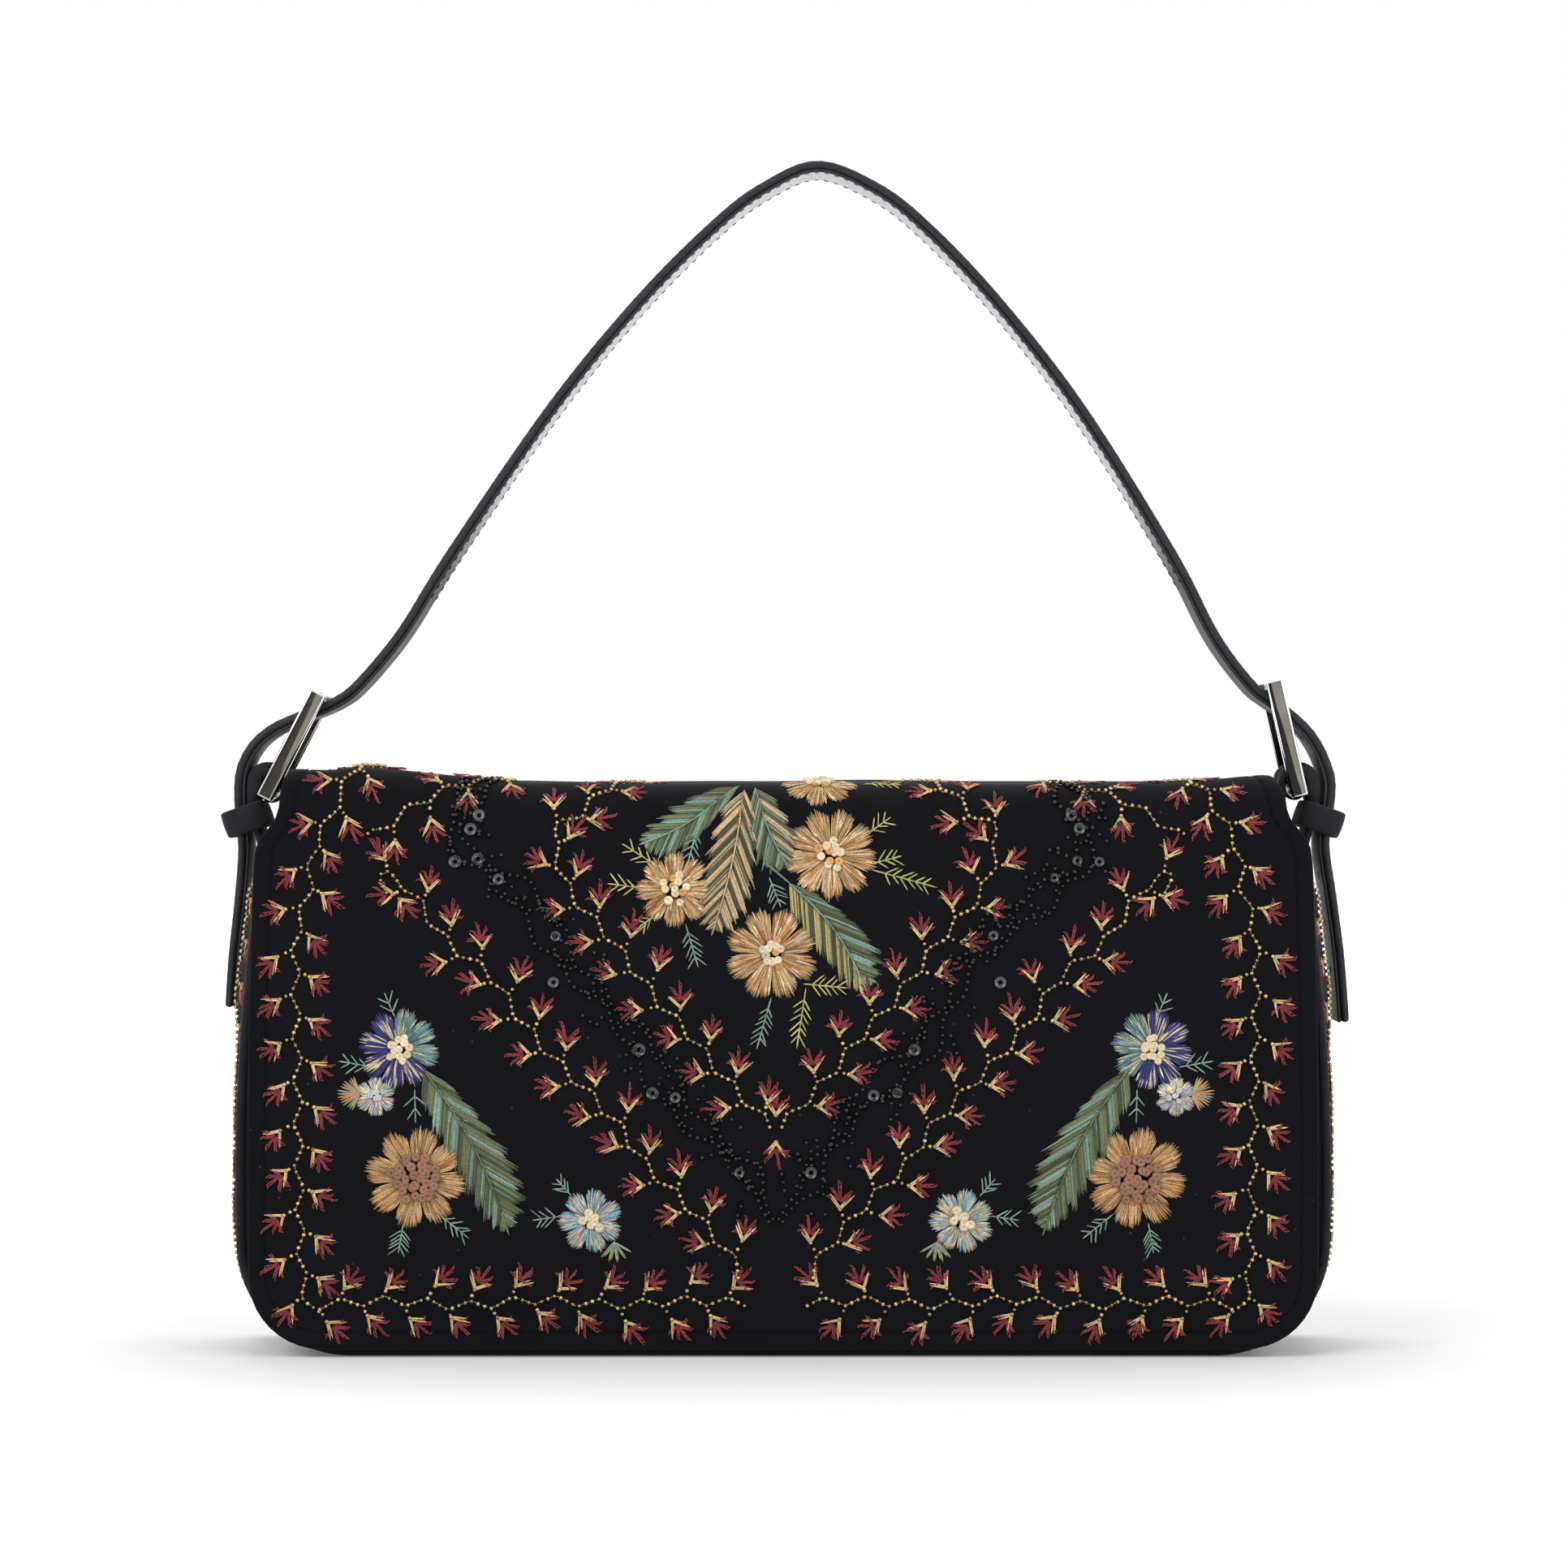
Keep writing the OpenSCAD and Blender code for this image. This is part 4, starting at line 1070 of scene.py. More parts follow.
def carve(piece, tools, operation="DIFFERENCE"):
    for tool in tools:
        modifier = piece.modifiers.new("carve", "BOOLEAN")
        modifier.operation = operation
        modifier.solver = "EXACT"
        modifier.object = tool
    view = bpy.context.evaluated_depsgraph_get()
    carved = bpy.data.meshes.new_from_object(piece.evaluated_get(view))
    piece.modifiers.clear()
    piece.data = carved
    for tool in tools:
        bpy.data.objects.remove(tool)
    while len(carved.materials) > 1:
        carved.materials.pop()
    for polygon in carved.polygons:
        polygon.material_index = 0
    smoothFaces(carved, 0.9)


def strapTools():
    pins = [cutPin(side * holes["x"], z) for side in (-1, 1) for z in holes["z"]]
    return [cutBox(side) for side in (-1, 1)] + pins


strapLayers = {  # offset, thickness, half width, looks and the node it stands for
    "strap_leather_band": (carry["strapOuter"], carry["hideThick"], carry["strapHalf"], strapHide,
                           "strap_leather", "shoulder_strap"),
    "strap_pale_band": (carry["strapOuter"] - carry["hideThick"], carry["paleThick"],
                        carry["strapHalf"] - carry["paleIn"], strapPale, "strap_lining",
                        "strap_lining"),
}
for name, (offset, thickness, half, material, slotName, node) in strapLayers.items():
    place, length = ribbonPlace(strapPath, carry["y"], offset)
    patch = bandPatch(lambda s: half, stations(0, length, 1.9), 2.4, [0, 0.12, 0.3, 0.6, 1.0])
    piece = shellPiece(name, patch, thickness, place, material)
    carve(piece, strapTools())
    rideOn(piece, "strap", slotName, node)
print("strap made")


# a box with soft edges, its largest front face sunk if asked: inset and depth
def bevelledBox(low, high, bevel, recess=None):
    work = bmesh.new()
    bmesh.ops.create_cube(work, size=1.0)
    for vert in work.verts:
        vert.co = Vector([low[i] + (vert.co[i] + 0.5) * (high[i] - low[i]) for i in range(3)])
    bmesh.ops.bevel(work, geom=list(work.edges), offset=bevel, segments=4, profile=0.5,
                    affect="EDGES", clamp_overlap=True)
    if recess:
        work.faces.ensure_lookup_table()
        front = min((f for f in work.faces if f.normal.y < -0.99), key=lambda f: -f.calc_area())
        bmesh.ops.inset_region(work, faces=[front], thickness=recess[0], depth=0)
        bmesh.ops.inset_region(work, faces=[front], thickness=0.12, depth=-recess[1])
    points = [tuple(v.co) for v in work.verts]
    faces = [[v.index for v in f.verts] for f in work.faces]
    work.free()
    return points, faces


# buckles: two side bars with soft bevels and two round bars between them
def addBuckle(side, hand, recess, finish):
    half, low = buckle["thick"] / 2, -buckle["fromEnd"]
    near, far = buckle["windowHalf"], buckle["windowHalf"] + buckle["sideWidth"]
    high = low + buckle["length"]
    shapes = [bevelledBox((-half, y0, low), (half, y1, high), buckle["bevel"], sunk)
              for y0, y1, sunk in ((-far, -near, recess), (near, far, None))]
    shapes += [roundBar(buckle["windowHalf"] + 0.6, buckle[bar + "Radius"], (0, z))
               for bar, z in (("lower", 0), ("upper", buckle["upperAt"]))]
    parts = [toolMesh(buckleSpot(points, side), faces) for points, faces in shapes]
    frameBar = parts[0]
    carve(frameBar, parts[1:], "UNION")
    frameBar.name = f"{hand}_buckle_frame"
    frameBar.data.set_sharp_from_angle(angle=0.7)
    frameBar.data.materials[0] = finish
    rideOn(frameBar, f"{hand}_buckle", "gunmetal", f"{hand}_buckle")


addBuckle(-1, "left", (0.42, 0.3), leftPlating)
addBuckle(1, "right", (0.36, 0.14), rightPlating)


# takes a circle's sine or cosine towards a square
def boxed(value):
    return math.copysign(abs(value) ** 0.6, value)


# a prong: an eye that turns on the lower bar and an arm that narrows to its tip
def addProng(side, hand):
    half = buckle["prongWide"] / 2
    bore, eye = buckle["lowerRadius"] + buckle["bore"], buckle["lowerRadius"] + buckle["eye"]
    soft = buckle["eyeBevel"]
    section = [(bore, -half), (bore, half), (eye - soft, half), (eye, half - soft),
               (eye, -half + soft), (eye - soft, -half)]
    angles = ringAngles(48)
    points = [(r * math.cos(a), y, r * math.sin(a)) for a in angles for r, y in section]
    faces = gridFaces(len(angles), len(section), wrap=True, closed=True)
    ring = toolMesh(buckleSpot(points, side), faces)
    rest = buckle["upperRadius"] + 0.3 + buckle["prongThick"] / 2
    arm = smoothPath([(1.0, 2.3), (1.5, 9), (rest - 0.2, 17), (rest, buckle["upperAt"] - 2),
                      (rest + 0.15, buckle["upperAt"] + 1.3)], 8)
    lengths, tangent = pathFrame(arm)
    normal = leftOf(tangent)
    points, sides = [], 16
    for (x, z), (nx, nz), share in zip(arm, normal, lengths / lengths[-1]):
        tip = math.sqrt(max(1 - max((share - 0.9) / 0.1, 0) ** 2, 0.06))
        wide = half * (1 - 0.12 * share) * tip
        thick = buckle["prongThick"] / 2 * (1 - 0.1 * share) * tip
        for a in ringAngles(sides):
            u = boxed(math.cos(a)) * thick
            points.append((x + nx * u, boxed(math.sin(a)) * wide, z + nz * u))
    rod = toolMesh(buckleSpot(points, side), tubeFaces(len(arm), sides))
    carve(ring, [rod], "UNION")
    ring.name = f"{hand}_prong_arm"
    rideOn(ring, f"{hand}_prong", "gunmetal", f"{hand}_prong")


for side, hand in bothSides:
    addProng(side, hand)
print("buckles made")


# shapes that repeat: one tree sets a shape on every point, the other strings it along paths
def buildTree(name, inputs):
    tree = bpy.data.node_groups.new(name, "GeometryNodeTree")
    addSocket(tree, "Geometry", "INPUT", "Geometry")
    for label, (kind, value) in inputs.items():
        addSocket(tree, label, "INPUT", kind, value)
    addSocket(tree, "Geometry", "OUTPUT", "Geometry")
    return tree, tree.nodes.new("NodeGroupInput").outputs


def storedVector(tree, label):
    node = addNode(tree, "GeometryNodeInputNamedAttribute", {"data_type": "FLOAT_VECTOR"},
                   {"Name": label})
    return next(s for s in node.outputs if s.enabled and s.name == "Attribute")


def randomShare(tree, given, spread="Spread"):
    node = addNode(tree, "FunctionNodeRandomValue", {"data_type": "FLOAT"}, {
        2: calc(tree, "SUBTRACT", 1.0, given[spread]), 3: calc(tree, "ADD", 1.0, given[spread]),
        8: given["Seed"]})
    return node.outputs[1]


def scaledVector(tree, vector, factor):
    return addNode(tree, "ShaderNodeVectorMath", {"operation": "SCALE"}, {
        0: vector, 3: factor}).outputs[0]


def endTree(tree, given, points, turn, size):
    shape = addNode(tree, "GeometryNodeObjectInfo", {}, {"Object": given["Shape"]})
    placed = addNode(tree, "GeometryNodeInstanceOnPoints", {}, {
        "Points": points, "Instance": shape.outputs["Geometry"], "Rotation": turn, "Scale": size})
    solid = addNode(tree, "GeometryNodeRealizeInstances", {}, {
        "Geometry": placed.outputs["Instances"]})
    painted = addNode(tree, "GeometryNodeSetMaterial", {}, {
        "Geometry": solid.outputs["Geometry"], "Material": given["Finish"]})
    result = tree.nodes.new("NodeGroupOutput")
    tree.links.new(painted.outputs["Geometry"], result.inputs["Geometry"])


def buildSewnTree():
    tree, given = buildTree("sewn shapes", {
        "Shape": ("Object", None), "Finish": ("Material", None), "Spread": ("Float", 0.06),
        "Seed": ("Int", 1)})
    turn = addNode(tree, "FunctionNodeAxesToRotation",
                   {"primary_axis": "Z", "secondary_axis": "X"},
                   {0: storedVector(tree, "up"), 1: storedVector(tree, "along")})
    size = scaledVector(tree, storedVector(tree, "size"), randomShare(tree, given))
    endTree(tree, given, given["Geometry"], turn.outputs[0], size)
    return tree


def buildStrungTree():
    tree, given = buildTree("strung beads", {
        "Shape": ("Object", None), "Finish": ("Material", None), "Pitch": ("Float", 0.002),
        "Size": ("Float", 0.0015), "Tint": ("Vector", None), "Spread": ("Float", 0.12),
        "Shade Spread": ("Float", 0.4), "Seed": ("Int", 1)})
    line = addNode(tree, "GeometryNodeMeshToCurve", {}, {"Mesh": given["Geometry"]})
    spaced = addNode(tree, "GeometryNodeResampleCurve", {"mode": "LENGTH"}, {
        "Curve": line.outputs["Curve"], "Length": given["Pitch"]})
    dyed = addNode(tree, "GeometryNodeStoreNamedAttribute",
                   {"data_type": "FLOAT_VECTOR", "domain": "POINT"},
                   {"Geometry": spaced.outputs["Curve"], "Name": "tint"})
    value = next(s for s in dyed.inputs if s.enabled and s.name == "Value")
    shade = randomShare(tree, given, "Shade Spread")
    tree.links.new(scaledVector(tree, given["Tint"], shade), value)
    heading = tree.nodes.new("GeometryNodeInputTangent")
    turn = addNode(tree, "FunctionNodeAlignRotationToVector", {"axis": "Z"}, {
        "Vector": heading.outputs[0]})
    size = calc(tree, "MULTIPLY", given["Size"], randomShare(tree, given))
    endTree(tree, given, dyed.outputs["Geometry"], turn.outputs[0], size)
    return tree


sewnTree = buildSewnTree()
strungTree = buildStrungTree()


def growPiece(name, points, edges, vectors, tree, values):
    mesh = bpy.data.meshes.new(name + "Points")
    mesh.from_pydata((np.asarray(points) * mm).tolist(), edges, [])
    for label, rows in vectors.items():
        layer = mesh.attributes.new(label, "FLOAT_VECTOR", "POINT")
        layer.data.foreach_set("vector", np.asarray(rows, np.float32).ravel())
    seedObject = addToScene(name + "Points", mesh)
    modifier = seedObject.modifiers.new("tree", "NODES")
    modifier.node_group = tree
    for item in tree.interface.items_tree:
        if item.in_out == "INPUT" and item.name in values:
            modifier[item.identifier] = values[item.name]
    view = bpy.context.evaluated_depsgraph_get()
    grown = bpy.data.meshes.new_from_object(seedObject.evaluated_get(view))
    bpy.data.objects.remove(seedObject)
    grown.name = name
    return addToScene(name, grown)


# a small shape to repeat, one unit across
def patternShape(name, points, faces, sharpAngle=1.4):
    return bpy.data.objects.new(name, tidyMesh(name, points, faces, sharpAngle))


def ringShape(name, profile, sides):
    points = [(x, radius * math.cos(a), lift + radius * math.sin(a))
              for x, radius, lift in profile for a in ringAngles(sides) + 0.3]
    return patternShape(name, points, tubeFaces(len(profile), sides))


def roundShape(name, profile, sides):
    points = [(r * math.cos(a), r * math.sin(a), z) for a in ringAngles(sides) for r, z in profile]
    return patternShape(name, points, gridFaces(sides, len(profile), wrap=True, closed=True))


stitchShape = ringShape("stitch", [(-0.5, 0.16, -0.3), (-0.3, 0.46, 0.1), (0.3, 0.46, 0.1),
                                   (0.5, 0.16, -0.3)], 5)
beadShape = roundShape("bead", [(0.5 * math.cos(a) * 0.62 + 0.19, 0.42 * math.sin(a))
                                for a in ringAngles(6)], 9)
knotShape = roundShape("knot", [(0.02, 0.0), (0.47, 0.0), (0.56, 0.2), (0.46, 0.42), (0.28, 0.5),
                                (0.16, 0.4), (0.02, 0.3)], 10)
sequinShape = roundShape("sequin", [(0.2, 0.06), (0.3, 0.02), (0.42, 0.09), (0.5, 0.16),
                                    (0.5, 0.22), (0.42, 0.17), (0.3, 0.1), (0.2, 0.13)], 14)

# inside: board, pocket and zip
board = {"low": (-100.0, -23.5, 2.5), "high": (100.0, 23.1, 4.5), "bevel": 0.8}
pocket = {
    "half": 80.0, "thick": 0.38, "rearY": 1.7, "frontY": 2.5, "rearTop": 106, "frontTop": 95.5,
    "turnZ": 45.6, "bottom": ((1.9, 44.9), (2.1, 44.75), (2.3, 44.9)),
}
zipper = {
    "z": 100.0, "half": 75.0, "tapeHalf": 78.0, "tapeWide": 5, "tapeThick": 0.6, "tapeIn": 3.8,
    "toothPitch": 2.5, "teethIn": 4.1, "rowGap": 0.9, "rowHigh": 1.4,
    "tooth": (1.25, 1.5, 1.1), "spine": (1.1, 0.55), "bevel": 0.14,
}
shape = bevelledBox(board["low"], board["high"], board["bevel"])
rideOn(makeMesh("base_board_covered", *shape, boardCloth), "bag", "board", "base_board")


# the pocket's cloth goes down behind, under and up in front
def pouchPath():
    low = pocket["turnZ"]
    rear = [(halfDepthAt(z) - pocket["rearY"], z) for z in np.linspace(pocket["rearTop"], low, 20)]
    front = [(halfDepthAt(z) - pocket["frontY"], z)
             for z in np.linspace(low, pocket["frontTop"], 16)]
    turn = [(halfDepthAt(body["swellZ"]) - inset, z) for inset, z in pocket["bottom"]]
    return np.array(rear + turn + front)


def addPouch():
    path = pouchPath()
    lengths, tangent = pathFrame(path)
    patch = bandPatch(lambda s: pocket["half"], stations(0, lengths[-1], 3.2), 8.0,
                      [0, 0.1, 0.19, 0.6])

    def place(across, s, depth):
        y, z = readAt(s, lengths, path)
        ty, tz = readAt(s, lengths, tangent)
        return np.stack([across, y + tz * depth * 0.98, z - ty * depth * 0.98], -1)
    piece = shellPiece("pocket_pouch_satin", patch, pocket["thick"], place, satin)
    rideOn(piece, "bag", "satin_lining", "pocket_pouch")


def addTapes():
    rowPoints, faces, start = [], [], 0
    reach = zipper["rowGap"] / 2 + zipper["rowHigh"] + 0.1
    wide = zipper["tapeWide"]
    patch = bandPatch(lambda h: zipper["tapeHalf"], stations(0, wide, 0.9), 4.0,
                      [0, 0.12, 0.28, 0.8])
    for low in (zipper["z"] + reach, zipper["z"] - reach - wide):
        def place(x, h, depth):
            y = halfDepthAt(h + low) - zipper["tapeIn"] - depth
            return np.stack([x, y, h + low], -1)
        points, quads = thickShell(patch, zipper["tapeThick"], place)
        rowPoints.append(points)
        faces += [[v + start for v in quad] for quad in quads]
        start += len(points)
    piece = makeMesh("zip_tape_pair", np.concatenate(rowPoints), faces, tapeCloth)
    rideOn(piece, "bag", "zip_tape", "zip_tapes")


# each tooth is a block, and a spine runs along them
def addTeeth():
    tooth = patternShape("tooth", *bevelledBox((-0.5,) * 3, (0.5,) * 3, zipper["bevel"]), 0.8)
    y = float(halfDepthAt(zipper["z"])) - zipper["teethIn"]
    pitch = zipper["toothPitch"]
    count = int(2 * zipper["half"] / pitch) - 1
    spine = zipper["rowGap"] / 2 + zipper["rowHigh"] - 0.3
    points, sizes = [], []
    for side in (-1, 1):
        for i in range(count):
            x = -zipper["half"] + (i + 0.75 + side * 0.2) * pitch
            points.append((x, y, zipper["z"] + side * (zipper["rowGap"] / 2 + 0.55)))
            sizes.append(zipper["tooth"])
        for i in range(count + 1):
            points.append((-zipper["half"] + (i + 0.5) * pitch, y, zipper["z"] + side * spine))
            sizes.append((pitch * 1.04, *zipper["spine"]))
    vectors = {"along": [(1, 0, 0)] * len(points), "up": [(0, 0, 1)] * len(points),
               "size": np.array(sizes) * mm}
    piece = growPiece("zip_tooth_rows", points, [], vectors, sewnTree, {
        "Shape": tooth, "Finish": gunmetal, "Spread": 0.0, "Seed": 3})
    rideOn(piece, "bag", "gunmetal", "zip_teeth")


addPouch()
addTapes()
addTeeth()
print("inside made")

# embroidery: each ground turns flat places into places on the bag, measured as on the flap
dyes = {name: tone(*channels) for name, channels in {
    "gold": (176, 150, 104), "goldThread": (206, 176, 122), "burgundy": (124, 40, 48),
    "tan": (190, 156, 112), "orange": (188, 140, 84), "cream": (222, 204, 168),
    "coreCream": (222, 206, 172), "coreBrown": (148, 104, 84), "coreOrange": (206, 154, 88),
    "leaf": (98, 108, 76), "leafDark": (66, 72, 48), "leafBeige": (192, 164, 126),
    "leafYellow": (164, 154, 96), "teal": (122, 150, 136), "fern": (180, 176, 112),
    "violet": (54, 50, 112), "tealBlue": (88, 128, 136), "amber": (158, 106, 58),
    "sky": (96, 164, 184), "pale": (148, 176, 184), "pink": (190, 170, 168),
    "straw": (196, 182, 150), "jet": (16, 16, 18), "sequin": (40, 42, 46), "black": (13, 13, 15),
    "glass": (196, 196, 200),
}.items()}
needle = {
    "step": 0.25, "beadPitch": 1.7, "beadSize": 1.12, "jetPitch": 1.9, "jetSize": 1.2,
    "sequinSize": 2.8, "zigzag": 1.2, "budEvery": 5.3, "armLength": 4.9, "armSpread": 41,
    "budReach": 4.5, "budMiddle": 3.2, "budRoot": 1.9, "budApart": 5.0,
    "lobes": (-78, -40, 0, 40, 78), "mirrorX": -1.8, "silk": 0.4, "petal": 0.42, "sepal": 0.44,
}
chance = np.random.default_rng(41)


def newGround(place):
    kinds = ("petal", "sepal", "silk", "leaf", "knot", "sequin", "goldLine", "jetLine", "buds")
    return dict({kind: [] for kind in kinds}, place=place)


def turned(direction, degrees):
    a = math.radians(degrees)
    x, y = direction
    return np.array((x * math.cos(a) - y * math.sin(a), x * math.sin(a) + y * math.cos(a)))


def unit(direction):
    direction = np.asarray(direction, float)
    return direction / max(np.linalg.norm(direction), 1e-9)


def pick(palette):
    return palette[int(chance.integers(len(palette)))]


# a stitch is its two ends, its width and its height above the cloth, and its colour
def sew(ground, kind, start, end, width, dye, lift=0.1, spread=0.17):
    shade = max(0.3, 1 + chance.normal(0, spread))
    ground[kind].append((*start, *end, width, lift, *(np.array(dyes[dye]) * shade)))


# a knot or a sequin is a middle and a direction
def sewRound(ground, kind, at, size, lift, tint):
    aim = turned((1, 0), chance.uniform(0, 360))
    ground[kind].append([*at, *(at + aim), size, lift, *tint])


def addBud(ground, apex, aim):
    aim = turned(unit(aim), chance.normal(0, 6))
    ground["buds"].append(apex + aim * needle["budMiddle"])
    for arm in (-1, 1):
        way = turned(aim, arm * (needle["armSpread"] + chance.normal(0, 4)))
        aside = turned(way, 90)
        for k, share in ((-0.24, 1.0), (0.2, 0.86), (0.0, 0.5)):
            start = apex + aside * k - way * 0.4
            bow = turned(way, -arm * chance.uniform(0, 7))
            end = start + bow * needle["armLength"] * share * chance.uniform(0.88, 1.06)
            sew(ground, "sepal", start, end, needle["sepal"], "goldThread",
                chance.uniform(0.2, 0.45))
    root = apex + aim * needle["budRoot"]
    widest = needle["lobes"][-1]
    for lobe in needle["lobes"]:
        way = turned(aim, lobe + chance.normal(0, 6))
        aside = turned(way, 90)
        reach = needle["budReach"] * (1 - 0.34 * abs(lobe) / widest) * chance.uniform(0.86, 1.12)
        for k in (-0.25, 0.25):
            start = root + aside * k * 0.6 + way * chance.uniform(-0.2, 0.3)
            end = root + way * reach * chance.uniform(0.84, 1.06)
            end = end + aside * (k + chance.normal(0, 0.1))
            sew(ground, "petal", start, end, needle["petal"], "burgundy",
                chance.uniform(0.1, 0.45), 0.24)
        for k in range(3):
            tip = root + way * reach * (0.4 + 0.26 * k)
            across = turned(way, 38 * (-1 if k % 2 else 1) + chance.normal(0, 10)) * 0.62
            sew(ground, "petal", tip - across * 0.3, tip + across, 0.38, "burgundy", 0.36, 0.24)


def evenPath(points):
    path = smoothPath(points, 12)
    lengths = lengthsAlong(path)
    s = np.arange(0, lengths[-1], needle["step"])
    path = np.stack(readAt(s, lengths, path), 1)
    tangent = directions(path)
    return s, path, tangent, leftOf(tangent)


# a zigzag line of beads with a bud at each corner; first is the side of its first bud
def addVine(ground, points, aimTravel, first=1):
    s, path, tangent, normal = evenPath(points)
    phase = s / needle["budEvery"]
    wave = (1 - 2 * np.abs((phase % 2) - 1)) * needle["zigzag"] * first
    line = path + normal * wave[:, None]
    ground["goldLine"].append(line)
    for i in range(0, len(line) - 6, 8):
        sew(ground, "sepal", line[i], line[i + 5], 0.2, "leafYellow", 0.03)
    for k in range(int(phase[-1]) + 1):
        i = min(int(k * needle["budEvery"] / needle["step"]), len(s) - 1)
        side = (-1 if k % 2 == 0 else 1) * first
        stem = chance.uniform(1.7, 3.6)
        at = line[i]
        apex = at + normal[i] * side * stem + tangent[i] * stem * 0.5 * np.sign(aimTravel)
        aim = unit(normal[i] * side + aimTravel * tangent[i])
        middle = apex + aim * needle["budMiddle"]
        if any(np.linalg.norm(middle - spot) < needle["budApart"] for spot in ground["buds"]):
            continue
        way = unit(apex - at)
        ground["goldLine"].append(np.array([at + way * 1.4, at + way * (stem + 0.1)]))
        addBud(ground, apex, aim)


# strands laid outwards from the middle, longest in the middle of each petal
def addFlower(ground, centre, radius, petals, palettes, core, coreRadius, knots, lobe=0.2,
              turn=0.0):
    centre = np.array(centre, float)

    def spot(reach, angle):
        return centre + reach * np.array((math.cos(angle), math.sin(angle)))
    for layer, share, apart in ((0, 1.0, 0.4), (1, 0.84, 0.62), (2, 0.62, 0.8)):
        count = int(2 * math.pi * radius * share / apart)
        for k in range(count):
            petal = petals * (k + chance.uniform(-0.3, 0.3)) / count
            off = 2 * (petal % 1.0) - 1
            dye = pick(palettes[int(petal) % len(palettes)])
            root = turn + 2 * math.pi * petal / petals
            tip = root - off * math.pi / petals * 0.09
            reach = radius * share * (1 - lobe * abs(off) ** 3.0) * chance.uniform(0.94, 1.04)
            sew(ground, "silk", spot(coreRadius * 0.75, root), spot(reach, tip),
                needle["silk"] * chance.uniform(0.8, 1.1), dye,
                0.05 + 0.17 * layer + chance.uniform(0, 0.16), 0.24)
    golden = math.pi * (3 - math.sqrt(5))
    for k in range(knots):
        at = spot(coreRadius * math.sqrt((k + 0.4) / knots), k * golden)
        size = 2.1 * coreRadius / math.sqrt(knots) * chance.uniform(0.9, 1.1)
        dye = pick(core)
        tint = np.array(dyes[dye]) * (1 + chance.normal(0, 0.07))
        sewRound(ground, "knot", at, size, 0.62, tint)


def addLeaf(ground, base, tip, width, leftDyes, rightDyes, veinDye, bend=0.08, teeth=7):
    base, tip = np.array(base, float), np.array(tip, float)
    length = np.linalg.norm(tip - base)
    forward = unit(tip - base)
    aside = turned(forward, 90)

    def spine(t):
        return base + forward * length * t + aside * bend * length * math.sin(math.pi * t)
    rows = int(length / 0.35)
    for k in range(rows):
        t = (k + 0.5) / rows
        group = t * teeth
        saw = (0.76 + 0.3 * (1 - group % 1.0)) * chance.uniform(0.84, 1.1)
        half = width / 2 * math.sin(math.pi * min(1.0, t * 0.86 + 0.16)) ** 0.75 * saw
        for side, palette in ((1, leftDyes), (-1, rightDyes)):
            dye = palette[int(group * 2) % len(palette)]
            if chance.uniform() < 0.3:
                dye = pick(palette)
            end = spine(t) + aside * side * half + forward * half * 1.6
            overshoot = np.dot(end - base, forward) - length * 1.03
            if overshoot > 0:
                end = end - forward * overshoot - aside * side * min(overshoot * 0.5, half * 0.8)
            sew(ground, "leaf", spine(t), end, needle["silk"], dye, chance.uniform(0.06, 0.3), 0.22)
    for k in range(8):
        sew(ground, "leaf", spine(k / 8), spine((k + 1.12) / 8), 0.5, veinDye, 0.45)


def addFern(ground, base, tip, dye, pairs=4, reach=3.3):
    base, tip = np.array(base, float), np.array(tip, float)
    for k in range(3):
        start, end = (base + (tip - base) * share / 3 for share in (k, k + 1.05))
        sew(ground, "silk", start, end, 0.42, dye, 0.12)
    for k in range(pairs):
        at = base + (tip - base) * (0.2 + 0.72 * k / pairs)
        for side in (-1, 1):
            way = turned(unit(tip - base), side * chance.uniform(34, 52))
            sew(ground, "silk", at, at + way * reach * chance.uniform(0.7, 1.15), needle["silk"],
                dye, 0.2)


# black beads: waving strands and short dashes between them
def addStrands(ground, points, offsets):
    s, path, tangent, normal = evenPath(points)
    for k, offset in enumerate(offsets):
        wave = offset * (0.65 + 0.5 * np.sin(s * 0.13 + k * 2.1)) + 1.3 * np.sin(s * 0.42 + k * 1.7)
        fade = np.clip(s / 12, 0, 1) * np.clip((s[-1] - s) / 12, 0.15, 1)
        ground["jetLine"].append(path + normal * (wave * fade)[:, None])
    for i in range(30, len(s) - 20, 9):
        at = path[i] + normal[i] * chance.normal(0, 3.4)
        way = turned(tangent[i], chance.uniform(-80, 80)) * chance.uniform(0.6, 2.4)
        ground["jetLine"].append(np.array([at - way, at + way]))


# the size's draw comes after the direction's
def addSequins(ground, spots):
    for spot in spots:
        at = np.array(spot, float)
        tint = np.array(dyes["sequin"]) * chance.uniform(0.7, 1.5)
        sewRound(ground, "sequin", at, needle["sequinSize"], 0.25, tint)
        ground["sequin"][-1][4] *= chance.uniform(0.85, 1.1)


# hand is 1 as the lists are written and -1 for the flap's other side
def handed(points, hand):
    return [(x if hand > 0 else 2 * needle["mirrorX"] - x, h) for x, h in points]


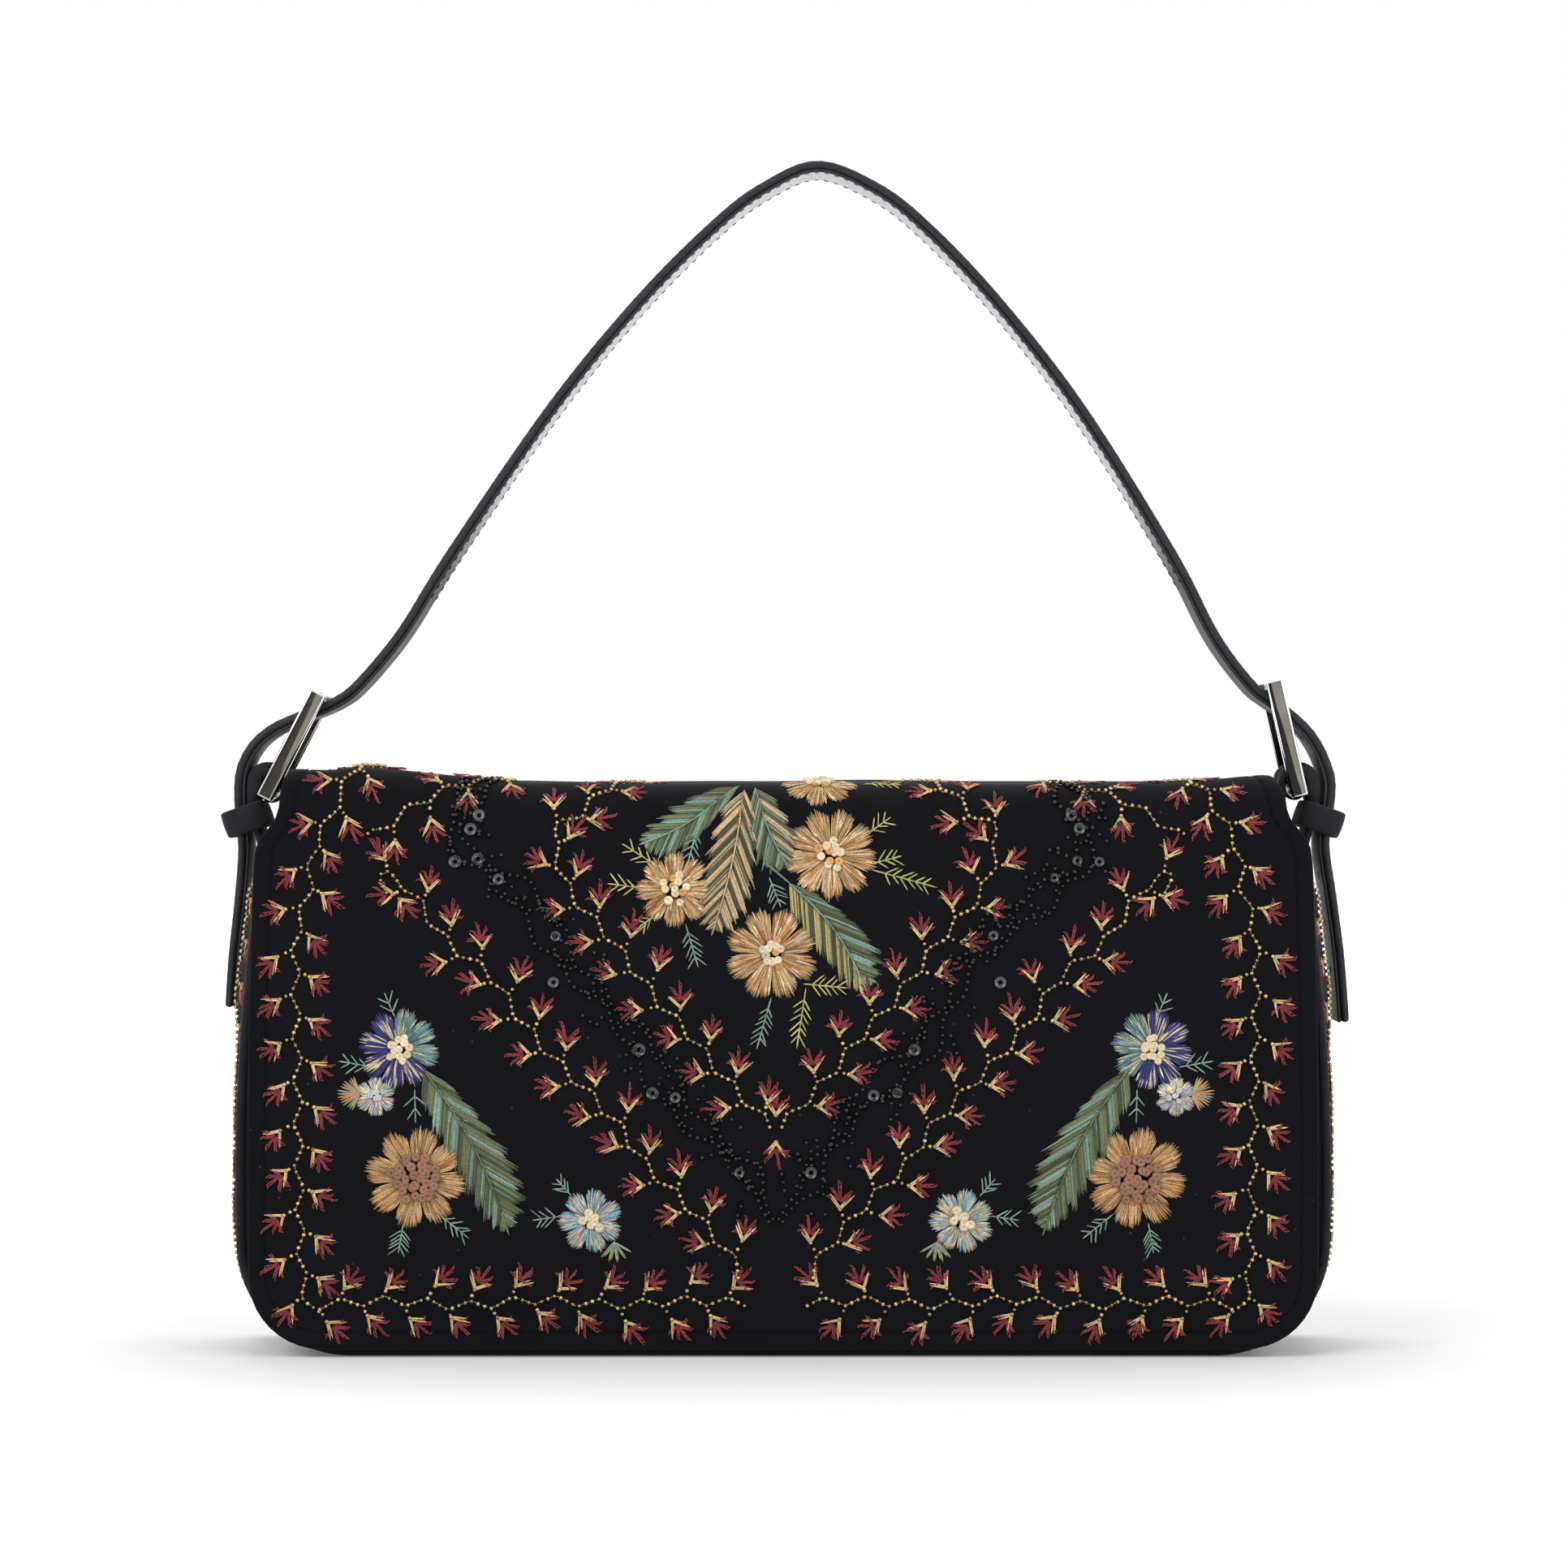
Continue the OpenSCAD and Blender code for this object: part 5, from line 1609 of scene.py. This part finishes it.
borderVine = [(-101, 160), (-103, 151), (-106, 144.2), (-111, 133.8), (-115.4, 125.8),
              (-117, 114.4), (-119.5, 105.4), (-120, 95), (-119.4, 70), (-119, 45), (-118, 19),
              (-115, 11)]
bottomVine = [(-114, 13.2), (-96, 14.2), (-78, 13), (-60, 14.4), (-40, 13.2), (-24, 14.2),
              (-9.4, 13.6)]
outerVine = [(-98.8, 114.4), (-98.4, 118.6), (-92.4, 115.4), (-86.6, 107.4), (-81.8, 101.6),
             (-71.8, 93.8), (-65.8, 85), (-58, 75.4), (-46.6, 64), (-39.4, 56), (-34.2, 48.2),
             (-26.2, 40.2), (-20.2, 34), (-13, 25.2), (-10, 20.4)]
innerVine = [(-36, 156), (-40, 147), (-45.4, 139.8), (-50.2, 134), (-55, 130.8), (-56.2, 126.4),
             (-53.6, 116.8), (-49.2, 110.4), (-42.2, 102.8), (-35.4, 93.8), (-29, 85.8),
             (-23.6, 80.2), (-16.8, 71.8), (-13, 67.4), (-3, 57)]
topVine = [(-66, 152), (-72, 146), (-79.2, 142), (-87.6, 137.4), (-94.6, 133), (-102, 128.2)]
jetPath = [(-70, 150), (-74, 142), (-79, 131), (-77, 122), (-71, 117.6), (-55.6, 103.4),
           (-35.6, 75.4), (-26, 65), (-10.6, 46.2), (-3, 34)]
sequinSpots = [(-74.8, 133.8), (-77, 130.6), (-81.2, 122.4), (-75.6, 122.4), (-70.6, 117.6),
               (-55.6, 103.4), (-56.8, 92.8), (-35.6, 75.4), (-31.8, 64.8), (-26, 64.2),
               (-10.6, 46.2)]


# vines, strands and sequins up to the top, on both sides
def addBorders(ground, top):
    for hand in (1, -1):
        def below(points):
            return handed([point for point in points if point[1] <= top], hand)
        addVine(ground, below(borderVine), 0.85, hand)
        addVine(ground, below(bottomVine), 0.85, hand)
        addVine(ground, below(outerVine), -1.0, hand)
        addVine(ground, below(innerVine), -1.0, hand)
        if below(topVine):
            addVine(ground, below(topVine), 0.5, hand)
        addStrands(ground, below(jetPath), (-3.6, 3.4))
        addSequins(ground, below(sequinSpots))
    for direction in (-1, 1):
        spot = np.array((needle["mirrorX"], 56.5 + direction * 3.4))
        addBud(ground, spot, (0, direction))


# the spray in the flap's middle: leaves, flowers, ferns and two stems
topSpray = {
    "leaves": [
        ((-11, 143), (-35, 126.4), 10.5, ("leaf", "teal", "leaf", "leafDark"),
         ("leaf", "leafDark", "leaf", "teal"), "teal"),
        ((-7, 142), (1, 121), 11, ("leaf", "leafDark", "leafBeige"), ("leaf", "leafDark", "teal"),
         "teal", -0.05),
        ((-9.6, 141), (-17.4, 104.6), 13, ("leafBeige", "leafDark"), ("leafBeige", "leafDark"),
         "leafBeige", 0.03, 9),
        ((1.4, 116.8), (20.4, 90.6), 12.5, ("leaf", "leafDark", "teal"),
         ("leafYellow", "leafDark"), "teal", 0.07, 8)],
    "flowers": [((-26.8, 115.2), 9.4, 8, 0.4), ((11.8, 123.8), 11.4, 9, 0.2),
                ((-2.8, 99.4), 11.3, 8, 0.0), ((9, 145.6), 9.4, 8, 0.3)],
    "petals": (("tan", "cream", "tan", "tan", "orange", "amber"),),
    "core": ("coreCream", "coreCream", "coreOrange"),
    "ferns": [
        ((-31, 121), (-39.6, 126.4), "fern", 3), ((-35, 115.6), (-43, 116.6), "fern", 3),
        ((-32, 108.4), (-35.4, 106), "fern", 2), ((21, 129), (26.4, 133), "fern", 3),
        ((22, 121.6), (29, 123.4), "fern", 3), ((22, 120), (37.4, 115.8), "fern", 6),
        ((5, 92), (15.6, 91), "fern", 5), ((5.6, 91), (3.4, 76.6), "fern", 6),
        ((20, 146), (29, 145), "fern", 4), ((-24, 106.6), (-21, 96.4), "teal", 5),
        ((-21, 131), (-23.4, 122), "teal", 4), ((-3.4, 118), (-0.6, 111), "teal", 4),
        ((-3, 88.4), (-6.4, 76.4), "teal", 6)],
    "stems": [((-1.4, 130.4), (3.2, 126.2)), ((-4.6, 122), (2, 116.4))],
}


def addTopSpray(ground):
    for leaf in topSpray["leaves"]:
        addLeaf(ground, *leaf)
    for at, radius, petals, turn in topSpray["flowers"]:
        addFlower(ground, at, radius, petals, topSpray["petals"], topSpray["core"], 3.3, 12, 0.2,
                  turn)
    for fern in topSpray["ferns"]:
        addFern(ground, *fern)
    for base, tip in topSpray["stems"]:
        sew(ground, "silk", base, tip, 0.6, "teal", 0.2)


violets, blues = ("violet", "violet", "straw"), ("tealBlue", "straw", "teal", "tealBlue")
sideSpray = {
    "leaf": ((-88.4, 71), (-67.6, 31), 13.5, ("leaf", "leafDark", "leaf", "teal"),
             ("leafDark", "leaf", "teal"), "leaf"),
    # middle, radius, petals, colours, core, its radius, knots, lobes and turn
    "flowers": [
        ((-94.4, 76), 9.9, 8, None, ("coreCream",), 3.0, 13, 0.2, 0.2),
        ((-100.2, 64.4), 4.9, 6, (("pale", "pink", "cream"),), ("glass",), 1.5, 5),
        ((-90.2, 44.4), 12.4, 8, (("tan", "tan", "tan", "orange", "amber"),), ("coreBrown",),
         5.9, 32, 0.24, 0.2),
        ((-47.4, 33.8), 7.8, 7, (("pale", "straw", "pink", "straw", "sky"),), ("coreCream",),
         2.6, 7)],
    "eightPetals": {1: (blues, blues, violets, violets, violets, violets, violets, blues),
                    -1: (violets, violets, blues, blues, blues, violets, violets, violets)},
    "fanAt": (-104, 65), "fan": (120, 150, 180, 205, 235),
    "tuft": (-130, -105, -80, -55, -30),
    "ferns": [((-95.6, 84), (-98, 89.6), 2), ((-101, 71.6), (-109, 73), 3),
              ((-90.6, 66), (-90.4, 58), 2), ((-93.4, 33), (-94.6, 26), 5),
              ((-84.6, 35.4), (-77.4, 29.6), 4), ((-82, 62), (-79, 57), 2),
              ((-54.6, 35), (-61.4, 34), 3), ((-52, 40), (-55.6, 44), 3)],
}


def addSideSpray(ground, hand):
    def at(point):
        return np.array(handed([point], hand)[0], float)

    def flower(middle, radius, petals, colours, *more):
        colours = colours or sideSpray["eightPetals"][hand]
        addFlower(ground, at(middle), radius, petals, colours, *more)
    base, tip, *looks = sideSpray["leaf"]
    addLeaf(ground, at(base), at(tip), *looks, 0.05 * hand, 9)
    flower(*sideSpray["flowers"][0])
    flower(*sideSpray["flowers"][1])
    start = at(sideSpray["fanAt"])
    for k, degrees in enumerate(sideSpray["fan"]):
        way = turned((hand, 0), hand * degrees) * (5.4 - abs(k - 2) * 0.5)
        for j in (-0.4, 0.0, 0.4):
            sew(ground, "silk", start, start + turned(way, j * 22), 0.5,
                ("orange", "teal", "orange")[(k + int(j * 3)) % 3], 0.15)
    flower(*sideSpray["flowers"][2])
    flower(*sideSpray["flowers"][3])
    for degrees in sideSpray["tuft"]:
        way = turned((hand, 0), hand * degrees)
        for root, reach, width, dye, lift in (((-41.6, 28.6), 4.8, 0.6, "leafYellow", 0.15),
                                              ((-41.2, 28.4), 4.2, 0.5, "teal", 0.3)):
            sew(ground, "silk", at(root), at(root) + way * reach, width, dye, lift)
    for base, tip, pairs in sideSpray["ferns"]:
        addFern(ground, at(base), at(tip), "teal", pairs)


# a shape on every row: rows are as sew and sewRound write them
def growRows(ground, name, rows, shape, finish, seed):
    rows = np.array(rows, float)
    starts, ends, width, lift, tint = (rows[:, 0:2], rows[:, 2:4], rows[:, 4], rows[:, 5],
                                       rows[:, 6:9])

    def spots(flat, depth):
        return ground["place"](flat[:, 0], flat[:, 1], depth)
    middles = (starts + ends) / 2
    along = spots(ends, -lift) - spots(starts, -lift)
    centre = spots(middles, -lift)
    up = spots(middles, -lift - 1) - centre
    length = np.linalg.norm(along, axis=1)
    size = [length + 0.3, width, width * 0.9] if shape is stitchShape else [width] * 3
    vectors = {"along": along / length[:, None], "up": up / np.linalg.norm(up, axis=1)[:, None],
               "size": np.stack(size, 1) * mm, "tint": tint}
    return growPiece(name, centre, [], vectors, sewnTree, {
        "Shape": shape, "Finish": finish, "Spread": 0.05, "Seed": seed})


def growLines(ground, name, lines, finish, tint, pitch, size, seed):
    points, edges, start = [], [], 0
    for line in lines:
        if len(line) == 2:
            line = line[0] + (line[1] - line[0]) * np.linspace(0, 1, 5)[:, None]
        count = len(line)
        points.append(ground["place"](line[:, 0], line[:, 1], np.full(count, -size * 0.42)))
        edges += [(start + i, start + i + 1) for i in range(count - 1)]
        start += count
    return growPiece(name, np.concatenate(points), edges, {}, strungTree, {
        "Shape": beadShape, "Finish": finish, "Pitch": pitch * mm, "Size": size * mm,
        "Tint": tint, "Spread": 0.1, "Shade Spread": 0.4, "Seed": seed})


sewnKinds = {
    "petal": ("bud_petals", stitchShape, sewingThread),
    "sepal": ("bud_sepals", stitchShape, sewingThread),
    "silk": ("silk_stitches", stitchShape, sewingThread),
    "leaf": ("leaf_stitches", stitchShape, sewingThread),
    "knot": ("thread_knots", knotShape, sewingThread),
    "sequin": ("jet_sequins", sequinShape, jetSequin),
}
strungKinds = {
    "goldLine": ("gold_beads", goldBead, "gold", needle["beadPitch"], needle["beadSize"]),
    "jetLine": ("jet_beads", jetBead, "jet", needle["jetPitch"], needle["jetSize"]),
}


# one piece of each kind between two heights, joined to the body that carries it or baked in place
def finishGround(ground, name, low, high, attach, carrier):
    for seed, (kind, (label, shape, finish)) in enumerate(sewnKinds.items(), 5):
        rows = [row for row in ground[kind] if low <= (row[1] + row[3]) / 2 < high]
        if rows:
            piece = growRows(ground, f"{name}_{label}", rows, shape, finish, seed)
            attach(piece, carrier, "velvet")
    for kind, (label, finish, dye, pitch, size) in strungKinds.items():
        lines = [line[(line[:, 1] >= low) & (line[:, 1] < high)] for line in ground[kind]]
        lines = [line for line in lines if len(line) > 1]
        if lines:
            piece = growLines(ground, f"{name}_{label}", lines, finish, dyes[dye], pitch, size, 11)
            attach(piece, carrier, "velvet")


flapGround = newGround(flapPlace)
addBorders(flapGround, 170)
addTopSpray(flapGround)
for hand in (1, -1):
    addSideSpray(flapGround, hand)
finishGround(flapGround, "flap", -1, cutAt, blendOn, frontFold)
finishGround(flapGround, "flap_top", cutAt, 400, blendOn, rearFold)
print("flap embroidered")

gussetVines = [
    [(-11, 242), (-12.5, 225), (-14, 208), (-17, 186), (-17.6, 160), (-18, 138), (-20, 117)],
    [(0, 190), (-1, 160), (0, 117)],
    [(17, 190), (17.6, 150), (19, 117)],
]


# the gusset's vines, measured up from the middle of the base
def gussetGround(side):
    sign = 1 if gussetPath[-1, 0] * side > 0 else -1

    def place(across, up, depth):
        s = gussetLength / 2 + sign * up
        z = np.interp(s, gussetLengths, gussetPath[:, 1])
        return gussetPlace(side * across / (halfDepthAt(z) - gusset["seamIn"]), s, depth)
    return newGround(place)


for side, hand in bothSides:
    ground = gussetGround(side)
    # keeps the buds off the seams
    ground["buds"] += [np.array((a, v)) for a in (-29, 29) for v in range(100, 240, 3)]
    for line in gussetVines:
        addVine(ground, [(side * across, up) for across, up in line], 0.85)
    finishGround(ground, f"gusset_{hand}", 116, 400, rideOn, "bag")

# the back carries the same borders and sprays, seen from behind
backPlace = facePlace(1, 0, flap["bellyRise"])
backGround = newGround(lambda x, h, depth: backPlace(-x, h, depth))
addBorders(backGround, 112)
for hand in (1, -1):
    addSideSpray(backGround, hand)
finishGround(backGround, "back", 0, 400, rideOn, "bag")
print("gusset and back embroidered")

# plain stitches: round the flap's edge and along both edges of the strap
seams = {
    "width": 0.42, "start": 1.5, "flapPitch": 3.4, "flapLength": 2.5, "flapTop": 154,
    "strapPitch": 2.8, "strapLength": 1.3, "strapAcross": 8.9,
}


def addRun(ground, line, pitch, length, lift):
    line = np.array(line, float)
    lengths = lengthsAlong(line)
    for s in np.arange(seams["start"], lengths[-1] - length, pitch):
        start, end = (readAt(v, lengths, line) for v in (s, s + length))
        sew(ground, "silk", start, end, seams["width"], "black", lift)


def flapEdge(inset, top):
    corner = flap["cornerRadius"] - inset
    low = flap["low"] + inset
    side = [(-(flapHalfAt(h) - inset), h) for h in np.arange(top, low + corner, -2.0)]
    middle = flapHalfAt(low + corner) - inset - corner
    arc = [(-middle - corner * math.cos(a), low + corner - corner * math.sin(a))
           for a in np.linspace(0, quarterTurn, 12)]
    half = np.array(side + arc)
    return np.concatenate([half, half[::-1] * (-1, 1)])


ground = newGround(flapPlace)
addRun(ground, flapEdge(flap["seamAt"], seams["flapTop"]), seams["flapPitch"],
       seams["flapLength"], -0.2)
piece = growRows(ground, "flap_topstitch", ground["silk"], stitchShape, seamThread, 21)
blendOn(piece, frontFold, "velvet")

carryFace, strapLength = ribbonPlace(strapPath, carry["y"], carry["strapOuter"])
linedFace, _ = ribbonPlace(strapPath, carry["y"],
                           carry["strapOuter"] - carry["hideThick"] - carry["paleThick"])


def linedPlace(across, s, depth):
    return linedFace(across, s, -depth)


# the lining's stitches show under the arch alone
for name, place, lift, clear in (("strap_top_stitches", carryFace, -0.15, 3),
                                 ("strap_lining_stitches", linedPlace, 0.0, 125)):
    ground = newGround(place)
    for across in (-seams["strapAcross"], seams["strapAcross"]):
        addRun(ground, [(across, clear), (across, strapLength - clear)], seams["strapPitch"],
               seams["strapLength"], lift)
    piece = growRows(ground, name, ground["silk"], stitchShape, seamThread, 22)
    rideOn(piece, "strap", "strap_leather")
print("stitches made")

# the frame's own nodes that stay in sight are the metal parts of snap, stops, slider and pull
buildStage()
for node in cadNodes.values():
    if not node.hide_render:
        if not len(node.material_slots):
            node.data.materials.append(gunmetal)
        for slot in node.material_slots:
            slot.material = gunmetal
